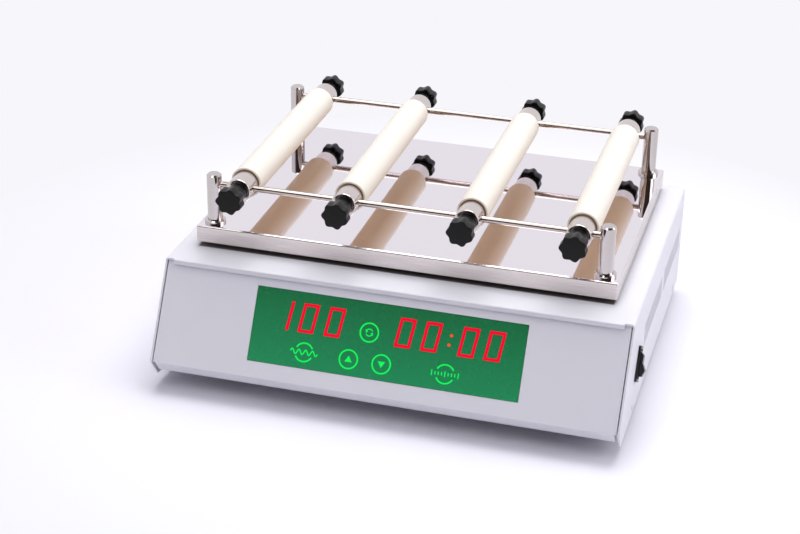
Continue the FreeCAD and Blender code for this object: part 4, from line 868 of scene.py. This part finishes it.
def make_floor():
    """Pale paper that shows the object's shadow near it and plain background further off."""
    material, tree, coords = new_material("studio_paper")
    distance = add(tree, "ShaderNodeVectorMath", {0: coords}, operation="LENGTH").outputs["Value"]
    far = add(tree, "ShaderNodeMapRange", {
        "Value": distance, "From Min": paper_near, "From Max": paper_far,
    }).outputs[0]
    fibre = add(tree, "ShaderNodeTexNoise", {
        "Vector": coords, "Scale": per_mm(3), "Detail": 2.0,
    }).outputs[0]
    tint = add(tree, "ShaderNodeMix", {
        0: fibre, 6: colour("#edecf3"), 7: colour("#eae9f0"),
    }, data_type="RGBA").outputs[2]
    paper = add(tree, "ShaderNodeBsdfDiffuse", {"Color": tint}).outputs[0]
    plain = add(tree, "ShaderNodeEmission", {"Color": colour(background), "Strength": 1.0}).outputs[0]
    path = add(tree, "ShaderNodeLightPath").outputs
    seen = add(tree, "ShaderNodeMath", {
        0: path["Is Camera Ray"], 1: path["Is Glossy Ray"],
    }, operation="MAXIMUM").outputs[0]
    shown = add(tree, "ShaderNodeMath", {
        0: seen, 1: path["Is Transmission Ray"],
    }, operation="MAXIMUM").outputs[0]
    share = add(tree, "ShaderNodeMath", {0: far, 1: shown}, operation="MULTIPLY").outputs[0]
    shader = add(tree, "ShaderNodeMixShader", {0: share, 1: paper, 2: plain}).outputs[0]
    add(tree, "ShaderNodeOutputMaterial", {"Surface": shader})
    mesh = bpy.data.meshes.new("floor")
    corners = [(x * floor_reach, y * floor_reach, 0) for x, y in ((-1, -1), (1, -1), (1, 1), (-1, 1))]
    mesh.from_pydata(corners, [], [(0, 1, 2, 3)])
    mesh.materials.append(material)
    floor = bpy.data.objects.new("floor", mesh)
    bpy.context.scene.collection.objects.link(floor)


room_dark_side = Vector((0.4, -0.85, 0.45))


def make_world():
    """A pale room, lighter overhead, whose dark side lies in front of the object and to its right.

    The camera sees plain background, metal and gloss see the dark side too, and the light that
    falls on the object comes mostly from above.
    """
    world = bpy.data.worlds.new("studio")
    bpy.context.scene.world = world
    world.use_nodes = True
    tree = world.node_tree
    tree.nodes.clear()
    direction = add(tree, "ShaderNodeTexCoord").outputs["Generated"]
    height = add(tree, "ShaderNodeSeparateXYZ", {0: direction}).outputs["Z"]
    overhead = add(tree, "ShaderNodeMix", {
        0: height, 6: colour("#67666b"), 7: colour("#cfced6"),
    }, data_type="RGBA").outputs[2]
    ambient = add(tree, "ShaderNodeBackground", {"Color": overhead}).outputs[0]
    toward = add(tree, "ShaderNodeVectorMath", {
        0: direction, 1: room_dark_side.normalized(),
    }, operation="DOT_PRODUCT").outputs["Value"]
    dark = add(tree, "ShaderNodeMapRange", {"Value": toward, "From Min": 0.4, "From Max": 0.75}).outputs[0]
    room = add(tree, "ShaderNodeMix", {
        0: dark, 6: colour(background), 7: colour("#3a2f2a"),
    }, data_type="RGBA").outputs[2]
    mirrored = add(tree, "ShaderNodeBackground", {"Color": room}).outputs[0]
    plain = add(tree, "ShaderNodeBackground", {"Color": colour(background)}).outputs[0]
    path = add(tree, "ShaderNodeLightPath").outputs
    through = add(tree, "ShaderNodeMath", {
        0: path["Is Camera Ray"], 1: path["Is Transmission Ray"],
    }, operation="MAXIMUM").outputs[0]
    lit = add(tree, "ShaderNodeMixShader", {0: path["Is Glossy Ray"], 1: ambient, 2: mirrored}).outputs[0]
    shader = add(tree, "ShaderNodeMixShader", {0: through, 1: lit, 2: plain}).outputs[0]
    add(tree, "ShaderNodeOutputWorld", {"Surface": shader})


lamps = {
    "overhead": {
        "place": (0.1, 0.5, 1.9), "aim": (0, 0.05, 0.1), "width": 1.6, "height": 1.4, "power": 30,
    },
    "right_side": {
        "place": (1.7, 0.1, 0.9), "aim": (0.1, 0.05, 0.1), "width": 1.1, "height": 1.1, "power": 10,
    },
    "front_high": {
        "place": (-0.5, -1.2, 1.9), "aim": (0, -0.05, 0.1), "width": 0.9, "height": 0.9, "power": 6.5,
    },
}


def softbox(name, place, aim, width, height, power):
    """An even square of light that looks from its place at a point near the object."""
    data = bpy.data.lights.new(name, "AREA")
    data.shape = "RECTANGLE"
    data.size = width
    data.size_y = height
    data.energy = power
    lamp = bpy.data.objects.new(name, data)
    lamp.location = place
    lamp.rotation_euler = (Vector(aim) - Vector(place)).to_track_quat("-Z", "Y").to_euler()
    bpy.context.scene.collection.objects.link(lamp)


make_camera()
make_floor()
make_world()
for name, settings in lamps.items():
    softbox(name, **settings)

bpy.context.scene.view_settings.view_transform = "Standard"
